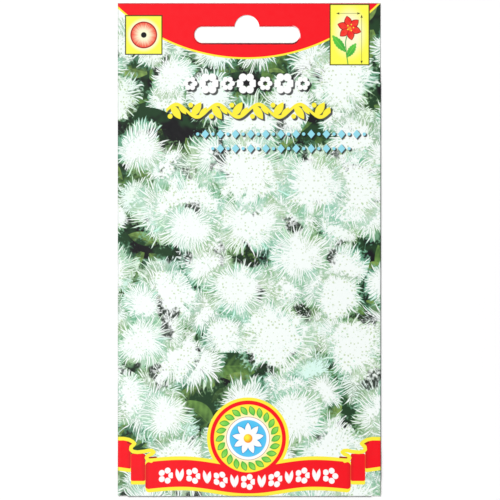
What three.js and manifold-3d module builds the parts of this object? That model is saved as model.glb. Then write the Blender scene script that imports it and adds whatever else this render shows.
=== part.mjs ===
// A flat paper seed packet that lies on its back: one folded and glued sheet with a hang slot, and the seeds inside.
// Millimetres. +X runs across the front, +Y up to the header, +Z out of the front. The origin is under the middle.
import * as THREE from "three";
import { mergeVertices } from "three/addons/utils/BufferGeometryUtils.js";
import Module from "manifold-3d";

// The packet
const WIDTH = 80;
const HEIGHT = 150;
const PAPER = 0.125; // coated paper with its gloss film
const GLUE = 0.05; // a dried glue line
const TAB_CLEARANCE = 0.05; // between the glue tab and the front panel over it
const BULGE = 1.5; // how far the front stands up over the seeds
const BULGE_SKEW = 0.62; // under 1 puts the highest place in the lower half

// The side seam: a tab behind the front's right edge, with the back panel glued over it
const TAB_WIDTH = 10;
const TAB_BOTTOM = -70;
const TAB_TOP = 51;
const TAB_CHAMFER = 4;
const BACK_SHORT = 0.5; // the back panel stops this far inside the right edge

// The bottom flap, folded from the front panel onto the back
const FLAP_HEIGHT = 12;
const FLAP_FOLD_HALF = 37; // half its width at the fold
const FLAP_END_HALF = 33; // half its width at the free edge
const LIFT_START = -60; // the back panel begins to rise over the flap here
const LIFT_FULL = -62.75;

// The header, where front and back are glued flat to each other
const HEADER_BOTTOM = 56;
const HEADER_RAMP_START = 52;
const HEADER_GLUE_MARGIN = 1;

// The hang slot, a bar with round ends and a round hump over its middle
const SLOT_X = -0.75; // the punch sits a little left of the middle
const SLOT_WIDTH = 32;
const SLOT_BOTTOM = 62.9;
const SLOT_HEIGHT = 5;
const HUMP_RADIUS = 3.8;
const HUMP_RISE = 3.5; // from the bar's upper edge to the top of the hump
const SLOT_GLUE_MARGIN = 1.2;

// The seeds: slender dark achenes, heaped near the bottom
const SEED_LENGTH = 1.8;
const SEED_WIDTH = 0.46;
const SEED_COUNT = 120;
const HEAP_X = -2;
const HEAP_Y = -53;
const HEAP_HALF_WIDTH = 17;
const HEAP_HALF_HEIGHT = 6;
const HEAP_FLOOR = PAPER + 0.05;
const HEAP_THICKNESS = 0.45;
const HEAP_SEED_LEVELS = 0.3; // how far seeds are spread in height

// How finely the sheet is divided
const FRONT_COLUMNS = 16;
const FOLD_STEPS = 6;
const ARC_STEPS = 10;
const CUTTER_REACH = 2;

// Levels that the layers share
const HALF_WIDTH = WIDTH / 2;
const HALF_HEIGHT = HEIGHT / 2;
const FLAP_STACK = PAPER + GLUE; // what the back panel rises by to lie over the flap
const TAB_LEVEL = PAPER + GLUE;
const BODY_THICKNESS = TAB_LEVEL + PAPER + TAB_CLEARANCE + PAPER;
const HEADER_THICKNESS = PAPER + GLUE + PAPER;
const TAB_FOLD_RADIUS = (BODY_THICKNESS - TAB_LEVEL) / 2;
const FRONT_RIGHT = HALF_WIDTH - TAB_FOLD_RADIUS;
const BOTTOM_FOLD_RADIUS = (BODY_THICKNESS + FLAP_STACK) / 2;
const BOTTOM_EDGE = -HALF_HEIGHT + BOTTOM_FOLD_RADIUS;
const TAB_EDGE = HALF_WIDTH - TAB_WIDTH;

const wasm = await Module();
wasm.setup();

function solidOf(geometry) {
  const bare = geometry.index ? geometry.toNonIndexed() : geometry.clone();
  bare.deleteAttribute("normal");
  bare.deleteAttribute("uv");
  const merged = mergeVertices(bare, 1e-5);
  return new wasm.Manifold(
    new wasm.Mesh({
      numProp: 3,
      vertProperties: merged.attributes.position.array,
      triVerts: new Uint32Array(merged.index.array),
    }),
  );
}

function geometryOf(solid) {
  const mesh = solid.getMesh();
  const geometry = new THREE.BufferGeometry();
  geometry.setAttribute("position", new THREE.BufferAttribute(mesh.vertProperties, 3));
  geometry.setIndex(new THREE.BufferAttribute(mesh.triVerts, 1));
  geometry.computeVertexNormals();
  return geometry;
}

// A ply of paper or glue between two equal grids of points. Rows and columns run so that
// column direction x row direction points out of the outer grid.
function plyGeometry(outer, inner) {
  const rows = outer.length;
  const columns = outer[0].length;
  const positions = [...outer.flat(), ...inner.flat()].flatMap((p) => [p.x, p.y, p.z]);
  const at = (side, row, column) => (side * rows + row) * columns + column;
  const index = [];
  const quad = (a, b, c, d) => index.push(a, b, c, a, c, d);
  for (let row = 0; row + 1 < rows; row++) {
    for (let column = 0; column + 1 < columns; column++) {
      const corners = [[row, column], [row, column + 1], [row + 1, column + 1], [row + 1, column]];
      quad(...corners.map(([r, c]) => at(0, r, c)));
      quad(...corners.reverse().map(([r, c]) => at(1, r, c)));
    }
    const last = columns - 1;
    quad(at(0, row, 0), at(0, row + 1, 0), at(1, row + 1, 0), at(1, row, 0));
    quad(at(0, row, last), at(1, row, last), at(1, row + 1, last), at(0, row + 1, last));
  }
  for (let column = 0; column + 1 < columns; column++) {
    const top = rows - 1;
    quad(at(0, 0, column), at(1, 0, column), at(1, 0, column + 1), at(0, 0, column + 1));
    quad(at(0, top, column), at(0, top, column + 1), at(1, top, column + 1), at(1, top, column));
  }
  const geometry = new THREE.BufferGeometry();
  geometry.setAttribute("position", new THREE.Float32BufferAttribute(positions, 3));
  geometry.setIndex(index);
  return geometry;
}

const smooth = THREE.MathUtils.smoothstep;

// How far every layer is raised at height y, to lie over the bottom flap.
function lift(y) {
  return FLAP_STACK * (1 - smooth(y, LIFT_FULL, LIFT_START));
}

// Total thickness of the packet along its edges at height y.
function edgeThickness(y) {
  const header = smooth(y, HEADER_RAMP_START, HEADER_BOTTOM);
  return THREE.MathUtils.lerp(BODY_THICKNESS, HEADER_THICKNESS, header);
}

// How far the front stands above its edges at (x, y).
function bulge(x, y) {
  const up = (y - BOTTOM_EDGE) / (HEADER_RAMP_START - BOTTOM_EDGE);
  if (up <= 0 || up >= 1) return 0;
  const across = Math.max(0, 1 - Math.abs(x / FRONT_RIGHT) ** 2.4);
  return BULGE * Math.sin(Math.PI * up ** BULGE_SKEW) * across ** 1.4;
}

const point = (x, y, z) => new THREE.Vector3(x, y, z);

// The heights at which the sheet is divided: close together at the ramps, wider in between.
const stations = [
  BOTTOM_EDGE, -74, -73, -71.5, TAB_BOTTOM, -68, -66, -64.5, LIFT_FULL, -62, -61.4, -60.8, LIFT_START,
  -57, -53, -49, -44, -38, -31, -24, -16, -8, 0, 8, 16, 24, 32, 39, 45, 49, TAB_TOP,
  HEADER_RAMP_START, 53, 54, 55, HEADER_BOTTOM, HALF_HEIGHT,
];

// Back panel, left fold and front panel: the section at height y, from the back's free edge round to the right.
function wrapSection(y) {
  const base = lift(y);
  const thickness = edgeThickness(y);
  const radius = thickness / 2;
  const foldX = -HALF_WIDTH + radius;
  const outer = [point(HALF_WIDTH - BACK_SHORT, y, base)];
  const inner = [point(HALF_WIDTH - BACK_SHORT, y, base + PAPER)];
  for (let step = 0; step <= FOLD_STEPS; step++) {
    const angle = -Math.PI / 2 - (Math.PI * step) / FOLD_STEPS;
    const around = (r) => point(foldX + r * Math.cos(angle), y, base + radius + r * Math.sin(angle));
    outer.push(around(radius));
    inner.push(around(radius - PAPER));
  }
  for (let column = 1; column <= FRONT_COLUMNS; column++) {
    const x = THREE.MathUtils.lerp(foldX, FRONT_RIGHT, column / FRONT_COLUMNS);
    const top = base + thickness + bulge(x, y);
    outer.push(point(x, y, top));
    inner.push(point(x, y, top - PAPER));
  }
  return { outer, inner };
}

function wrapGeometry() {
  const sections = stations.map(wrapSection);
  return plyGeometry(sections.map((s) => s.outer), sections.map((s) => s.inner));
}

// Right fold and side tab: the section at height y, from a strip shared with the front panel to the tab's free edge.
function tabSection(y) {
  const base = lift(y);
  const top = base + BODY_THICKNESS;
  const centre = top - TAB_FOLD_RADIUS;
  const chamfer = Math.max(0, TAB_CHAMFER - (TAB_TOP - y), TAB_CHAMFER - (y - TAB_BOTTOM));
  const shared = THREE.MathUtils.lerp(-HALF_WIDTH + BODY_THICKNESS / 2, FRONT_RIGHT, 1 - 1 / FRONT_COLUMNS);
  const sharedTop = top + bulge(shared, y);
  const outer = [point(shared, y, sharedTop)];
  const inner = [point(shared, y, sharedTop - PAPER)];
  for (let step = 0; step <= FOLD_STEPS; step++) {
    const angle = Math.PI / 2 - (Math.PI * step) / FOLD_STEPS;
    const around = (r) => point(FRONT_RIGHT + r * Math.cos(angle), y, centre + r * Math.sin(angle));
    outer.push(around(TAB_FOLD_RADIUS));
    inner.push(around(TAB_FOLD_RADIUS - PAPER));
  }
  outer.push(point(TAB_EDGE + chamfer, y, base + TAB_LEVEL));
  inner.push(point(TAB_EDGE + chamfer, y, base + TAB_LEVEL + PAPER));
  return { outer, inner };
}

function tabGeometry() {
  const sections = stations.filter((y) => y >= TAB_BOTTOM && y <= TAB_TOP).map(tabSection);
  return plyGeometry(sections.map((s) => s.outer), sections.map((s) => s.inner));
}

// The bottom fold and its flap: rows follow the paper from the front panel round to the flap's free edge.
function flapGeometry() {
  const rows = [{ y: stations[1], z: BOTTOM_FOLD_RADIUS, r: BOTTOM_FOLD_RADIUS, angle: Math.PI / 2 }];
  for (let step = 0; step <= FOLD_STEPS; step++) {
    const angle = Math.PI / 2 + (Math.PI * step) / FOLD_STEPS;
    rows.push({ y: BOTTOM_EDGE, z: BOTTOM_FOLD_RADIUS, r: BOTTOM_FOLD_RADIUS, angle });
  }
  rows.push({ y: -HALF_HEIGHT + FLAP_HEIGHT, z: BOTTOM_FOLD_RADIUS, r: BOTTOM_FOLD_RADIUS, angle: -Math.PI / 2 });
  const side = (inset) =>
    rows.map((row, number) => {
      const half = number === rows.length - 1 ? FLAP_END_HALF : FLAP_FOLD_HALF;
      const y = row.y + (row.r - inset) * Math.cos(row.angle);
      const z = row.z + (row.r - inset) * Math.sin(row.angle);
      return [point(half, y, z), point(-half, y, z)];
    });
  return plyGeometry(side(0), side(PAPER));
}

// The slot's outline, grown by margin on every side.
function slotShape(margin) {
  const radius = SLOT_HEIGHT / 2 + margin;
  const middle = SLOT_BOTTOM + SLOT_HEIGHT / 2;
  const reach = SLOT_WIDTH / 2 - SLOT_HEIGHT / 2;
  const humpRadius = HUMP_RADIUS + margin;
  const humpY = SLOT_BOTTOM + SLOT_HEIGHT + HUMP_RISE - HUMP_RADIUS;
  const shoulder = Math.asin((middle + radius - humpY) / humpRadius);
  const shape = new THREE.Shape();
  shape.moveTo(SLOT_X - reach, middle - radius);
  shape.lineTo(SLOT_X + reach, middle - radius);
  shape.absarc(SLOT_X + reach, middle, radius, -Math.PI / 2, Math.PI / 2, false);
  shape.absarc(SLOT_X, humpY, humpRadius, shoulder, Math.PI - shoulder, false);
  shape.absarc(SLOT_X - reach, middle, radius, Math.PI / 2, (3 * Math.PI) / 2, false);
  return shape;
}

function slotCutter(margin) {
  const depth = HEADER_THICKNESS + 2 * CUTTER_REACH;
  const geometry = new THREE.ExtrudeGeometry(slotShape(margin), {
    depth,
    bevelEnabled: false,
    curveSegments: ARC_STEPS,
  });
  return solidOf(geometry.translate(0, 0, -CUTTER_REACH));
}

function packetSheet() {
  const sheet = solidOf(wrapGeometry()).add(solidOf(tabGeometry())).add(solidOf(flapGeometry()));
  return geometryOf(sheet.subtract(slotCutter(0)));
}

// Glue between the back panel and the side tab.
function sideGlue() {
  const low = TAB_BOTTOM + TAB_CHAMFER;
  const high = TAB_TOP - TAB_CHAMFER;
  const levels = [low, ...stations.filter((y) => y > low && y < high), high];
  const grid = (raise) =>
    levels.map((y) => [
      point(FRONT_RIGHT - 1, y, lift(y) + PAPER + raise),
      point(TAB_EDGE + 1, y, lift(y) + PAPER + raise),
    ]);
  return plyGeometry(grid(0), grid(GLUE));
}

// Glue between the bottom flap and the back panel over it.
function flapGlue() {
  const low = -HALF_HEIGHT + 1;
  const high = -HALF_HEIGHT + FLAP_HEIGHT - 1;
  const geometry = new THREE.BoxGeometry(2 * FLAP_END_HALF - 2, high - low, GLUE);
  return geometry.translate(0, (low + high) / 2, PAPER + GLUE / 2);
}

// Glue between the header's two plies, kept back from their edges and from the slot.
function headerGlue() {
  const low = HEADER_BOTTOM + HEADER_GLUE_MARGIN;
  const high = HALF_HEIGHT - HEADER_GLUE_MARGIN;
  const width = WIDTH - 2 * BACK_SHORT - 2 * HEADER_GLUE_MARGIN;
  const geometry = new THREE.BoxGeometry(width, high - low, GLUE);
  geometry.translate(0, (low + high) / 2, PAPER + GLUE / 2);
  return geometryOf(solidOf(geometry).subtract(slotCutter(SLOT_GLUE_MARGIN)));
}

// A repeatable random number from 0 to 1.
function randomFrom(seed) {
  let state = seed;
  return () => {
    state = (state * 1664525 + 1013904223) % 4294967296;
    return state / 4294967296;
  };
}

// A heap of seeds: long eight-faced spindles that stand out of a thin core.
function seedHeap() {
  const random = randomFrom(11);
  const core = new THREE.CylinderGeometry(1, 1.08, HEAP_THICKNESS, 20);
  core.rotateX(Math.PI / 2);
  core.scale(HEAP_HALF_WIDTH - SEED_LENGTH, HEAP_HALF_HEIGHT - SEED_LENGTH / 2, 1);
  core.translate(HEAP_X, HEAP_Y, HEAP_FLOOR + HEAP_THICKNESS / 2);
  const seeds = [solidOf(core)];
  for (let number = 0; number < SEED_COUNT; number++) {
    const around = 2 * Math.PI * random();
    const out = Math.sqrt(random());
    const seed = new THREE.OctahedronGeometry(1);
    seed.scale(SEED_LENGTH / 2, SEED_WIDTH / 2, SEED_WIDTH / 2);
    seed.rotateX(2 * Math.PI * random());
    seed.rotateY(0.12 * (random() - 0.5));
    seed.rotateZ(Math.PI * random());
    seed.translate(
      HEAP_X + out * Math.cos(around) * (HEAP_HALF_WIDTH - SEED_LENGTH),
      HEAP_Y + out * Math.sin(around) * (HEAP_HALF_HEIGHT - SEED_LENGTH / 2),
      HEAP_FLOOR + SEED_WIDTH / 2 + HEAP_SEED_LEVELS * random() * (1 - out * out),
    );
    seeds.push(solidOf(seed));
  }
  return geometryOf(wasm.Manifold.union(seeds));
}

function part(name, geometry, color, roughness) {
  const material = new THREE.MeshStandardMaterial({ color, roughness, metalness: 0, flatShading: true });
  const mesh = new THREE.Mesh(geometry, material);
  mesh.name = name;
  return mesh;
}

const packet = new THREE.Group();
packet.add(part("packet_sheet", packetSheet(), "#dfeee3", 0.35));
packet.add(part("side_glue", sideGlue(), "#efe9d2", 0.5));
packet.add(part("flap_glue", flapGlue(), "#efe9d2", 0.5));
packet.add(part("header_glue", headerGlue(), "#efe9d2", 0.5));
packet.add(part("seeds", seedHeap(), "#2c241d", 0.7));

export default packet;
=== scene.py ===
import functools
import math
import random

import bmesh
import bpy
from mathutils import Matrix, Vector


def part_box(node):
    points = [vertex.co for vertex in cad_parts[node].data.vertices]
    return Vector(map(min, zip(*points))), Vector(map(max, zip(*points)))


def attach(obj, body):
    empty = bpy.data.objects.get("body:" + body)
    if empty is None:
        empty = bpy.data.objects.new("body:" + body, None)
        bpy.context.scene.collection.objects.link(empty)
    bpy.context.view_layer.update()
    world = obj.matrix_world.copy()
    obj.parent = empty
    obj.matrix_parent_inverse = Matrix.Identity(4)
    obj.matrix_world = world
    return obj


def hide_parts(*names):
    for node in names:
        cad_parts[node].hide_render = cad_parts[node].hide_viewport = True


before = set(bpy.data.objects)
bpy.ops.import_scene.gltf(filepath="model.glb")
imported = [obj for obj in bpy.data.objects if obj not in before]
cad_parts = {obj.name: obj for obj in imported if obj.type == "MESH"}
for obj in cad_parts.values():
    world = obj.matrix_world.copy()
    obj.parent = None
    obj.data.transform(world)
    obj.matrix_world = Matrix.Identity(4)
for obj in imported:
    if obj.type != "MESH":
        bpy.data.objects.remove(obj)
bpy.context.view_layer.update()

bl_info = {
    "name": "Seed packet",
    "version": (1, 0, 0),
    "blender": (4, 5, 0),
    "location": "3D View > Sidebar > Seed packet",
    "description": "Folds, fills and prints a paper seed packet around its solid model",
    "category": "Object",
}

MM = 0.001
FULL_TURN = 2 * math.pi
HAIR = 1e-6  # less than any length or angle that matters
SHEET_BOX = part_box("packet_sheet")
SEED_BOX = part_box("seeds")
WIDTH = (SHEET_BOX[1].x - SHEET_BOX[0].x) / MM
HEIGHT = (SHEET_BOX[1].y - SHEET_BOX[0].y) / MM
BODY = "root"


def ink(red, green, blue):
    """A printed colour, from screen values of 0 to 255 to the linear values that a shader takes."""
    def linear(value):
        share = value / 255
        return share / 12.92 if share <= 0.04045 else ((share + 0.055) / 1.055) ** 2.4
    return linear(red), linear(green), linear(blue)


def between(start, end, share):
    """A colour on the way from one to another."""
    return tuple(a + (b - a) * share for a, b in zip(start, end))


# --------------------------------------------------------------------------------------------------
# Sizes and colours that a user would change


def size(name, description, millimetres):
    return bpy.props.FloatProperty(
        name=name, description=description, default=millimetres * MM, unit="LENGTH", precision=6)


def colour(name, description, value):
    return bpy.props.FloatVectorProperty(
        name=name, description=description, default=value, size=3, min=0, max=1, subtype="COLOR")


def amount(name, description, value, unit="NONE"):
    return bpy.props.FloatProperty(name=name, description=description, default=value, unit=unit)


def whole(name, description, value):
    return bpy.props.IntProperty(name=name, description=description, default=value, min=1)


class Measures:
    """A property group's sizes in millimetres."""

    def __init__(self, sizes):
        for name in sizes.__annotations__:
            value = getattr(sizes, name)
            setattr(self, name, value / MM if isinstance(value, float) else value)


class PacketSizes(bpy.types.PropertyGroup):
    """How the sheet is cut and folded"""

    paper: size("Paper", "Thickness of the paper with its gloss film", 0.125)
    glue: size("Glue", "Thickness of a dried glue line", 0.05)
    tab_clearance: size("Tab clearance", "Gap between the side tab and the front over it", 0.05)
    bulge: size("Bulge", "How far the front stands up over the seeds", 1.5)
    ripple: size("Ripple", "Height of the front's soft unevenness", 0.1)
    tab_width: size("Tab width", "Width of the side glue tab", 10)
    tab_bottom: size("Tab bottom", "Lower end of the side tab", -70)
    tab_top: size("Tab top", "Upper end of the side tab", 51)
    tab_chamfer: size("Tab chamfer", "How far the side tab's corners are cut back", 4)
    back_short: size("Back edge", "How far the back's free edge stays inside the right edge", 0.5)
    flap_height: size("Flap height", "Height of the bottom flap", 12)
    flap_fold_half: size("Flap at the fold", "Half the flap's width at the bottom fold", 37)
    flap_end_half: size("Flap at its end", "Half the flap's width at its free edge", 33)
    lift_start: size("Lift start", "Height at which the back begins to rise over the flap", -60)
    lift_full: size("Lift end", "Height at which the back lies fully on the flap", -62.75)
    header_bottom: size("Header", "Height above which front and back are glued flat", 56)
    header_ramp: size("Header ramp", "Height at which the pouch begins to close", 52)
    slot_x: size("Slot place", "Middle of the hang slot across the packet", -0.75)
    slot_width: size("Slot width", "Width of the hang slot", 32)
    slot_bottom: size("Slot bottom", "Lower edge of the hang slot", 62.9)
    slot_height: size("Slot height", "Height of the hang slot's bar", 5)
    hump_radius: size("Hump radius", "Radius of the hang slot's hump", 3.8)
    hump_rise: size("Hump rise", "Height of the hump above the slot's bar", 3.5)


class PrintLayout(bpy.types.PropertyGroup):
    """Where the printed things stand on the front"""

    arc_x: size("Arc middle", "Middle of the header's arc, across", -0.87)
    arc_y: size("Arc height", "Middle of the header's arc, up", 115.45)
    arc_radius: size("Arc radius", "Radius of the header's arc", 56.9)
    arc_line: size("Arc line", "Width of the line under the header", 0.55)
    sign_frame: size("Sign frame", "Width of the frame round a growing sign", 0.34)
    sun_x: size("Sun sign across", "Middle of the sun sign", -32.1)
    sun_y: size("Sun sign up", "Middle of the sun sign", 65.35)
    sun_half_width: size("Sun sign half width", "Half the sun sign's width", 5.7)
    sun_half_height: size("Sun sign half height", "Half the sun sign's height", 6.05)
    sun_radius: size("Sun disc", "Radius of the sun sign's disc", 3.9)
    plant_x: size("Plant sign across", "Middle of the plant sign", 30.48)
    plant_y: size("Plant sign up", "Middle of the plant sign", 65.45)
    plant_half_width: size("Plant sign half width", "Half the plant sign's width", 6.1)
    plant_half_height: size("Plant sign half height", "Half the plant sign's height", 9.35)
    flower_row_x: size("Flower row across", "Middle of the row of flowers", -0.9)
    flower_row_y: size("Flower row up", "Middle of the row of flowers", 50.6)
    vine_row_x: size("Vine across", "Middle of the waving stem", -0.3)
    vine_row_y: size("Vine up", "Middle of the waving stem", 42.3)
    bead_row_x: size("Beads across", "Middle of the two thin rows", 9.6)
    bead_row_y: size("Beads up", "Upper of the two thin rows", 35.2)
    bead_row_step: size("Beads step", "Between the two thin rows", 4.4)
    ribbon_y: size("Ribbon up", "Mean height of the ribbon's middle", -68.87)
    ribbon_wave: size("Ribbon wave", "How far the ribbon waves up and down", 1.03)
    ribbon_crest: size("Ribbon crest", "From the seal's middle to the ribbon's crest", 20)
    ribbon_half_height: size("Ribbon half height", "Half the height of the ribbon's red", 4.1)
    ribbon_border: size("Ribbon border", "Width of the ribbon's yellow border", 1.1)
    ribbon_main_end: size("Ribbon first fold", "From the seal's middle to the first fold", 31.2)
    ribbon_middle_end: size("Ribbon second fold", "From the seal's middle to the second fold", 35.6)
    seal_x: size("Seal across", "Middle of the seal", -0.4)
    seal_y: size("Seal up", "Middle of the seal", -57.2)
    seal_disc: size("Seal disc", "Radius of the seal's yellow disc", 10.33)
    seal_ring: size("Seal ring", "Outer radius of the seal's red ring", 11.5)
    seal_heart: size("Seal heart", "Radius of the seal's blue disc", 5.6)


class PrintColours(bpy.types.PropertyGroup):
    """The inks"""

    red: colour("Red", "Header and ribbon", ink(250, 10, 28))
    dark_red: colour("Dark red", "The ribbon's folds and the red flower's outline", ink(160, 22, 16))
    coral: colour("Coral", "The sun disc's rim and the red flower's petals", ink(244, 78, 52))
    orange: colour("Orange", "Middles of flowers", ink(250, 150, 30))
    yellow: colour("Yellow", "Borders", ink(255, 241, 62))
    sign_yellow: colour("Sign yellow", "Growing signs", ink(255, 253, 82))
    cream: colour("Cream", "Pale middles", ink(255, 252, 214))
    outline: colour("Outline", "Thin frames and arrows", ink(66, 60, 14))
    white: colour("White", "Bare coated paper", ink(255, 255, 254))
    mint: colour("Mint", "Shaded filaments", ink(174, 250, 228))
    dew: colour("Dew", "Shaded filaments with a warmer cast", ink(202, 245, 200))
    sea: colour("Sea green", "Deep filaments", ink(137, 213, 168))
    olive: colour("Olive", "Deep filaments with a warmer cast", ink(152, 198, 124))
    bract: colour("Bract green", "Young green among the heads", ink(158, 188, 98))
    leaf: colour("Leaf green", "Leaves", ink(92, 146, 66))
    moss: colour("Moss green", "Leaves in shade", ink(32, 64, 36))
    night: colour("Night", "The darkest gaps and shadows", ink(17, 17, 20))
    stem: colour("Stem green", "Drawn stems", ink(48, 160, 62))
    fresh: colour("Fresh green", "Drawn leaves", ink(88, 200, 66))
    lime: colour("Lime", "Lit parts of drawn leaves", ink(160, 228, 96))
    sky: colour("Sky blue", "Thin ornaments", ink(150, 222, 238))
    blue: colour("Blue", "Middle of the seal", ink(34, 192, 244))
    blue_shade: colour("Deep blue", "Outlines on the blue", ink(20, 130, 196))


class SeedSizes(bpy.types.PropertyGroup):
    """The loose seeds"""

    length: size("Length", "Length of a seed", 1.8)
    width: size("Width", "Width of a seed at its thickest", 0.42)
    tuft: size("Tuft", "Length of the longest scale on a seed's top", 0.8)
    pile: size("Pile", "Most that the heap stands over the back panel", 1.35)
    count: whole("Count", "Most seeds that are heaped", 400)
    draw: whole("Draw", "Number that starts the random draw", 7)


class StageLook(bpy.types.PropertyGroup):
    """Floor and lights"""

    floor: colour("Floor", "Colour of the floor", (0.97, 0.97, 0.97))
    key: amount("Key light", "Power of the main lamp", 42, "POWER")
    fill: amount("Fill light", "Power of the weak lamp", 17, "POWER")
    sky: amount("Sky", "Strength of the light from all sides", 0.28)


# --------------------------------------------------------------------------------------------------
# Materials written as arithmetic. Each node is made after the nodes that feed it, because the
# renderer works a material out in that order, and so keeps few values at a time.


class Level:
    """A number or colour that a material works out at every point. Numbers take plain arithmetic."""

    def __init__(self, tree, socket):
        self.tree = tree
        self.socket = socket

    def __add__(self, other):
        return maths("ADD", self, other)

    def __radd__(self, other):
        return maths("ADD", other, self)

    def __sub__(self, other):
        return maths("SUBTRACT", self, other)

    def __rsub__(self, other):
        return maths("SUBTRACT", other, self)

    def __mul__(self, other):
        return maths("MULTIPLY", self, other)

    def __rmul__(self, other):
        return maths("MULTIPLY", other, self)

    def __truediv__(self, other):
        return maths("DIVIDE", self, other)

    def __rtruediv__(self, other):
        return maths("DIVIDE", other, self)

    def __pow__(self, other):
        return maths("POWER", self, other)

    def __abs__(self):
        return maths("ABSOLUTE", self)


def tree_of(*values):
    return next(value.tree for value in values if isinstance(value, Level))


def plug(tree, socket, value):
    """Feeds a socket from a level, a number or a colour."""
    if isinstance(value, Level):
        tree.links.new(value.socket, socket)
    elif isinstance(value, (int, float)):
        socket.default_value = value
    else:
        socket.default_value = (*value, 1.0)


def recipe(inputs, outputs):
    """Makes a node group of a function, once, and sets that group wherever the function is called.

    A name that ends in "ink" carries a colour, and any other a number.
    """
    def taught(build):
        def written():
            group = bpy.data.node_groups.new(build.__name__, "ShaderNodeTree")
            for names, way in ((inputs, "INPUT"), (outputs, "OUTPUT")):
                for name in names.split():
                    kind = "NodeSocketColor" if name.endswith("ink") else "NodeSocketFloat"
                    group.interface.new_socket(name, in_out=way, socket_type=kind)
            start = group.nodes.new("NodeGroupInput")
            end = group.nodes.new("NodeGroupOutput")
            taken = [Level(group, socket) for socket, _ in zip(start.outputs, inputs.split())]
            results = build(*taken)
            if isinstance(results, Level):
                results = [results]
            for socket, result in zip(end.inputs, results):
                group.links.new(result.socket, socket)
            return group

        def call(*values):
            tree = tree_of(*values)
            node = tree.nodes.new("ShaderNodeGroup")
            node.node_tree = bpy.data.node_groups.get(build.__name__) or written()
            for socket, value in zip(node.inputs, values):
                plug(tree, socket, value)
            results = [Level(tree, socket) for socket in node.outputs]
            return results[0] if len(results) == 1 else results

        return call
    return taught


def maths(operation, *values, clamp=False):
    tree = tree_of(*values)
    node = tree.nodes.new("ShaderNodeMath")
    node.operation = operation
    node.use_clamp = clamp
    for socket, value in zip(node.inputs, values):
        plug(tree, socket, value)
    return Level(tree, node.outputs[0])


def fused(a, b, c):
    """a * b + c in one node."""
    return maths("MULTIPLY_ADD", a, b, c)


def lower(a, b):
    return maths("MINIMUM", a, b)


def higher(a, b):
    return maths("MAXIMUM", a, b)


def limited(a):
    return maths("ADD", a, 0.0, clamp=True)  # held between 0 and 1


def sine(a):
    return maths("SINE", a)


def cosine(a):
    return maths("COSINE", a)


def fraction(a):
    return maths("FRACT", a)


def length(a, b):
    """The length of (a, b)."""
    return maths("SQRT", a * a + b * b)


def ramp(a, start, end):
    """0 at start, 1 at end, and smooth in between."""
    node = a.tree.nodes.new("ShaderNodeMapRange")
    node.interpolation_type = "SMOOTHSTEP"
    plug(a.tree, node.inputs["Value"], a)
    plug(a.tree, node.inputs["From Min"], start)
    plug(a.tree, node.inputs["From Max"], end)
    return Level(a.tree, node.outputs["Result"])


def inside(distance, soft=0.08):
    """1 where a distance is below 0, with an edge that is soft millimetres wide."""
    return maths("MULTIPLY_ADD", distance, -1.0 / soft, 0.5, clamp=True)


def stroke(distance, half_width, soft=0.08):
    """1 on a line drawn where a distance is 0."""
    return inside(abs(distance) - half_width, soft)


def mixed(under, over, amount):
    """Over laid on under, as far as amount says."""
    tree = tree_of(under, over, amount)
    node = tree.nodes.new("ShaderNodeMix")
    node.data_type = "RGBA"
    plug(tree, node.inputs["Factor"], amount)
    plug(tree, node.inputs[6], under)
    plug(tree, node.inputs[7], over)
    return Level(tree, node.outputs[2])


def combined(x, y, z=0.0):
    tree = tree_of(x, y, z)
    node = tree.nodes.new("ShaderNodeCombineXYZ")
    for socket, value in zip(node.inputs, (x, y, z)):
        plug(tree, socket, value)
    return Level(tree, node.outputs[0])


def separated(vector):
    node = vector.tree.nodes.new("ShaderNodeSeparateXYZ")
    plug(vector.tree, node.inputs[0], vector)
    return [Level(vector.tree, output) for output in node.outputs]


def separated_ink(tree, socket):
    """A colour's three parts.

    Taken apart as a vector it would first be converted, which costs a shader its room.
    """
    node = tree.nodes.new("ShaderNodeSeparateColor")
    tree.links.new(socket, node.inputs[0])
    return [Level(tree, output) for output in node.outputs]


NOISE_STEPS = (37.1, 17.7)  # a pattern with the next seed is read this far away, across and up
CELL_STEPS = (53.3, 29.9)


@recipe("x y scale seed detail", "level level_b")
def noises(x, y, scale, seed, detail):
    """Two different soft noises, each from 0 to 1, with lumps scale millimetres across."""
    spot = combined(x + seed * NOISE_STEPS[0], y + seed * NOISE_STEPS[1])
    fineness = 1.0 / scale
    node = x.tree.nodes.new("ShaderNodeTexNoise")
    node.noise_dimensions = "2D"
    plug(x.tree, node.inputs["Vector"], spot)
    plug(x.tree, node.inputs["Scale"], fineness)
    plug(x.tree, node.inputs["Detail"], detail)
    level, level_b, _ = separated_ink(x.tree, node.outputs["Color"])
    return level, level_b


def noise(x, y, scale, seed, detail=2.0):
    return noises(x, y, scale, seed, detail)[0]


NEXT_TO_NOTHING = 1e-12  # a share of a colour that moves no point


def after(result, x, y):
    """The same x and y, but worked out after result.

    Without it the renderer starts on every layer of a picture at once, and a large material
    doesn't fit its stack.
    """
    red, _, _ = separated_ink(result.tree, result.socket)
    nothing = red * NEXT_TO_NOTHING
    return x + nothing, y + nothing


def chances(number):
    """Three random numbers from 0 to 1 that belong to the given one."""
    node = number.tree.nodes.new("ShaderNodeTexWhiteNoise")
    node.noise_dimensions = "1D"
    plug(number.tree, node.inputs["W"], number)
    return separated_ink(number.tree, node.outputs["Color"])


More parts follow.
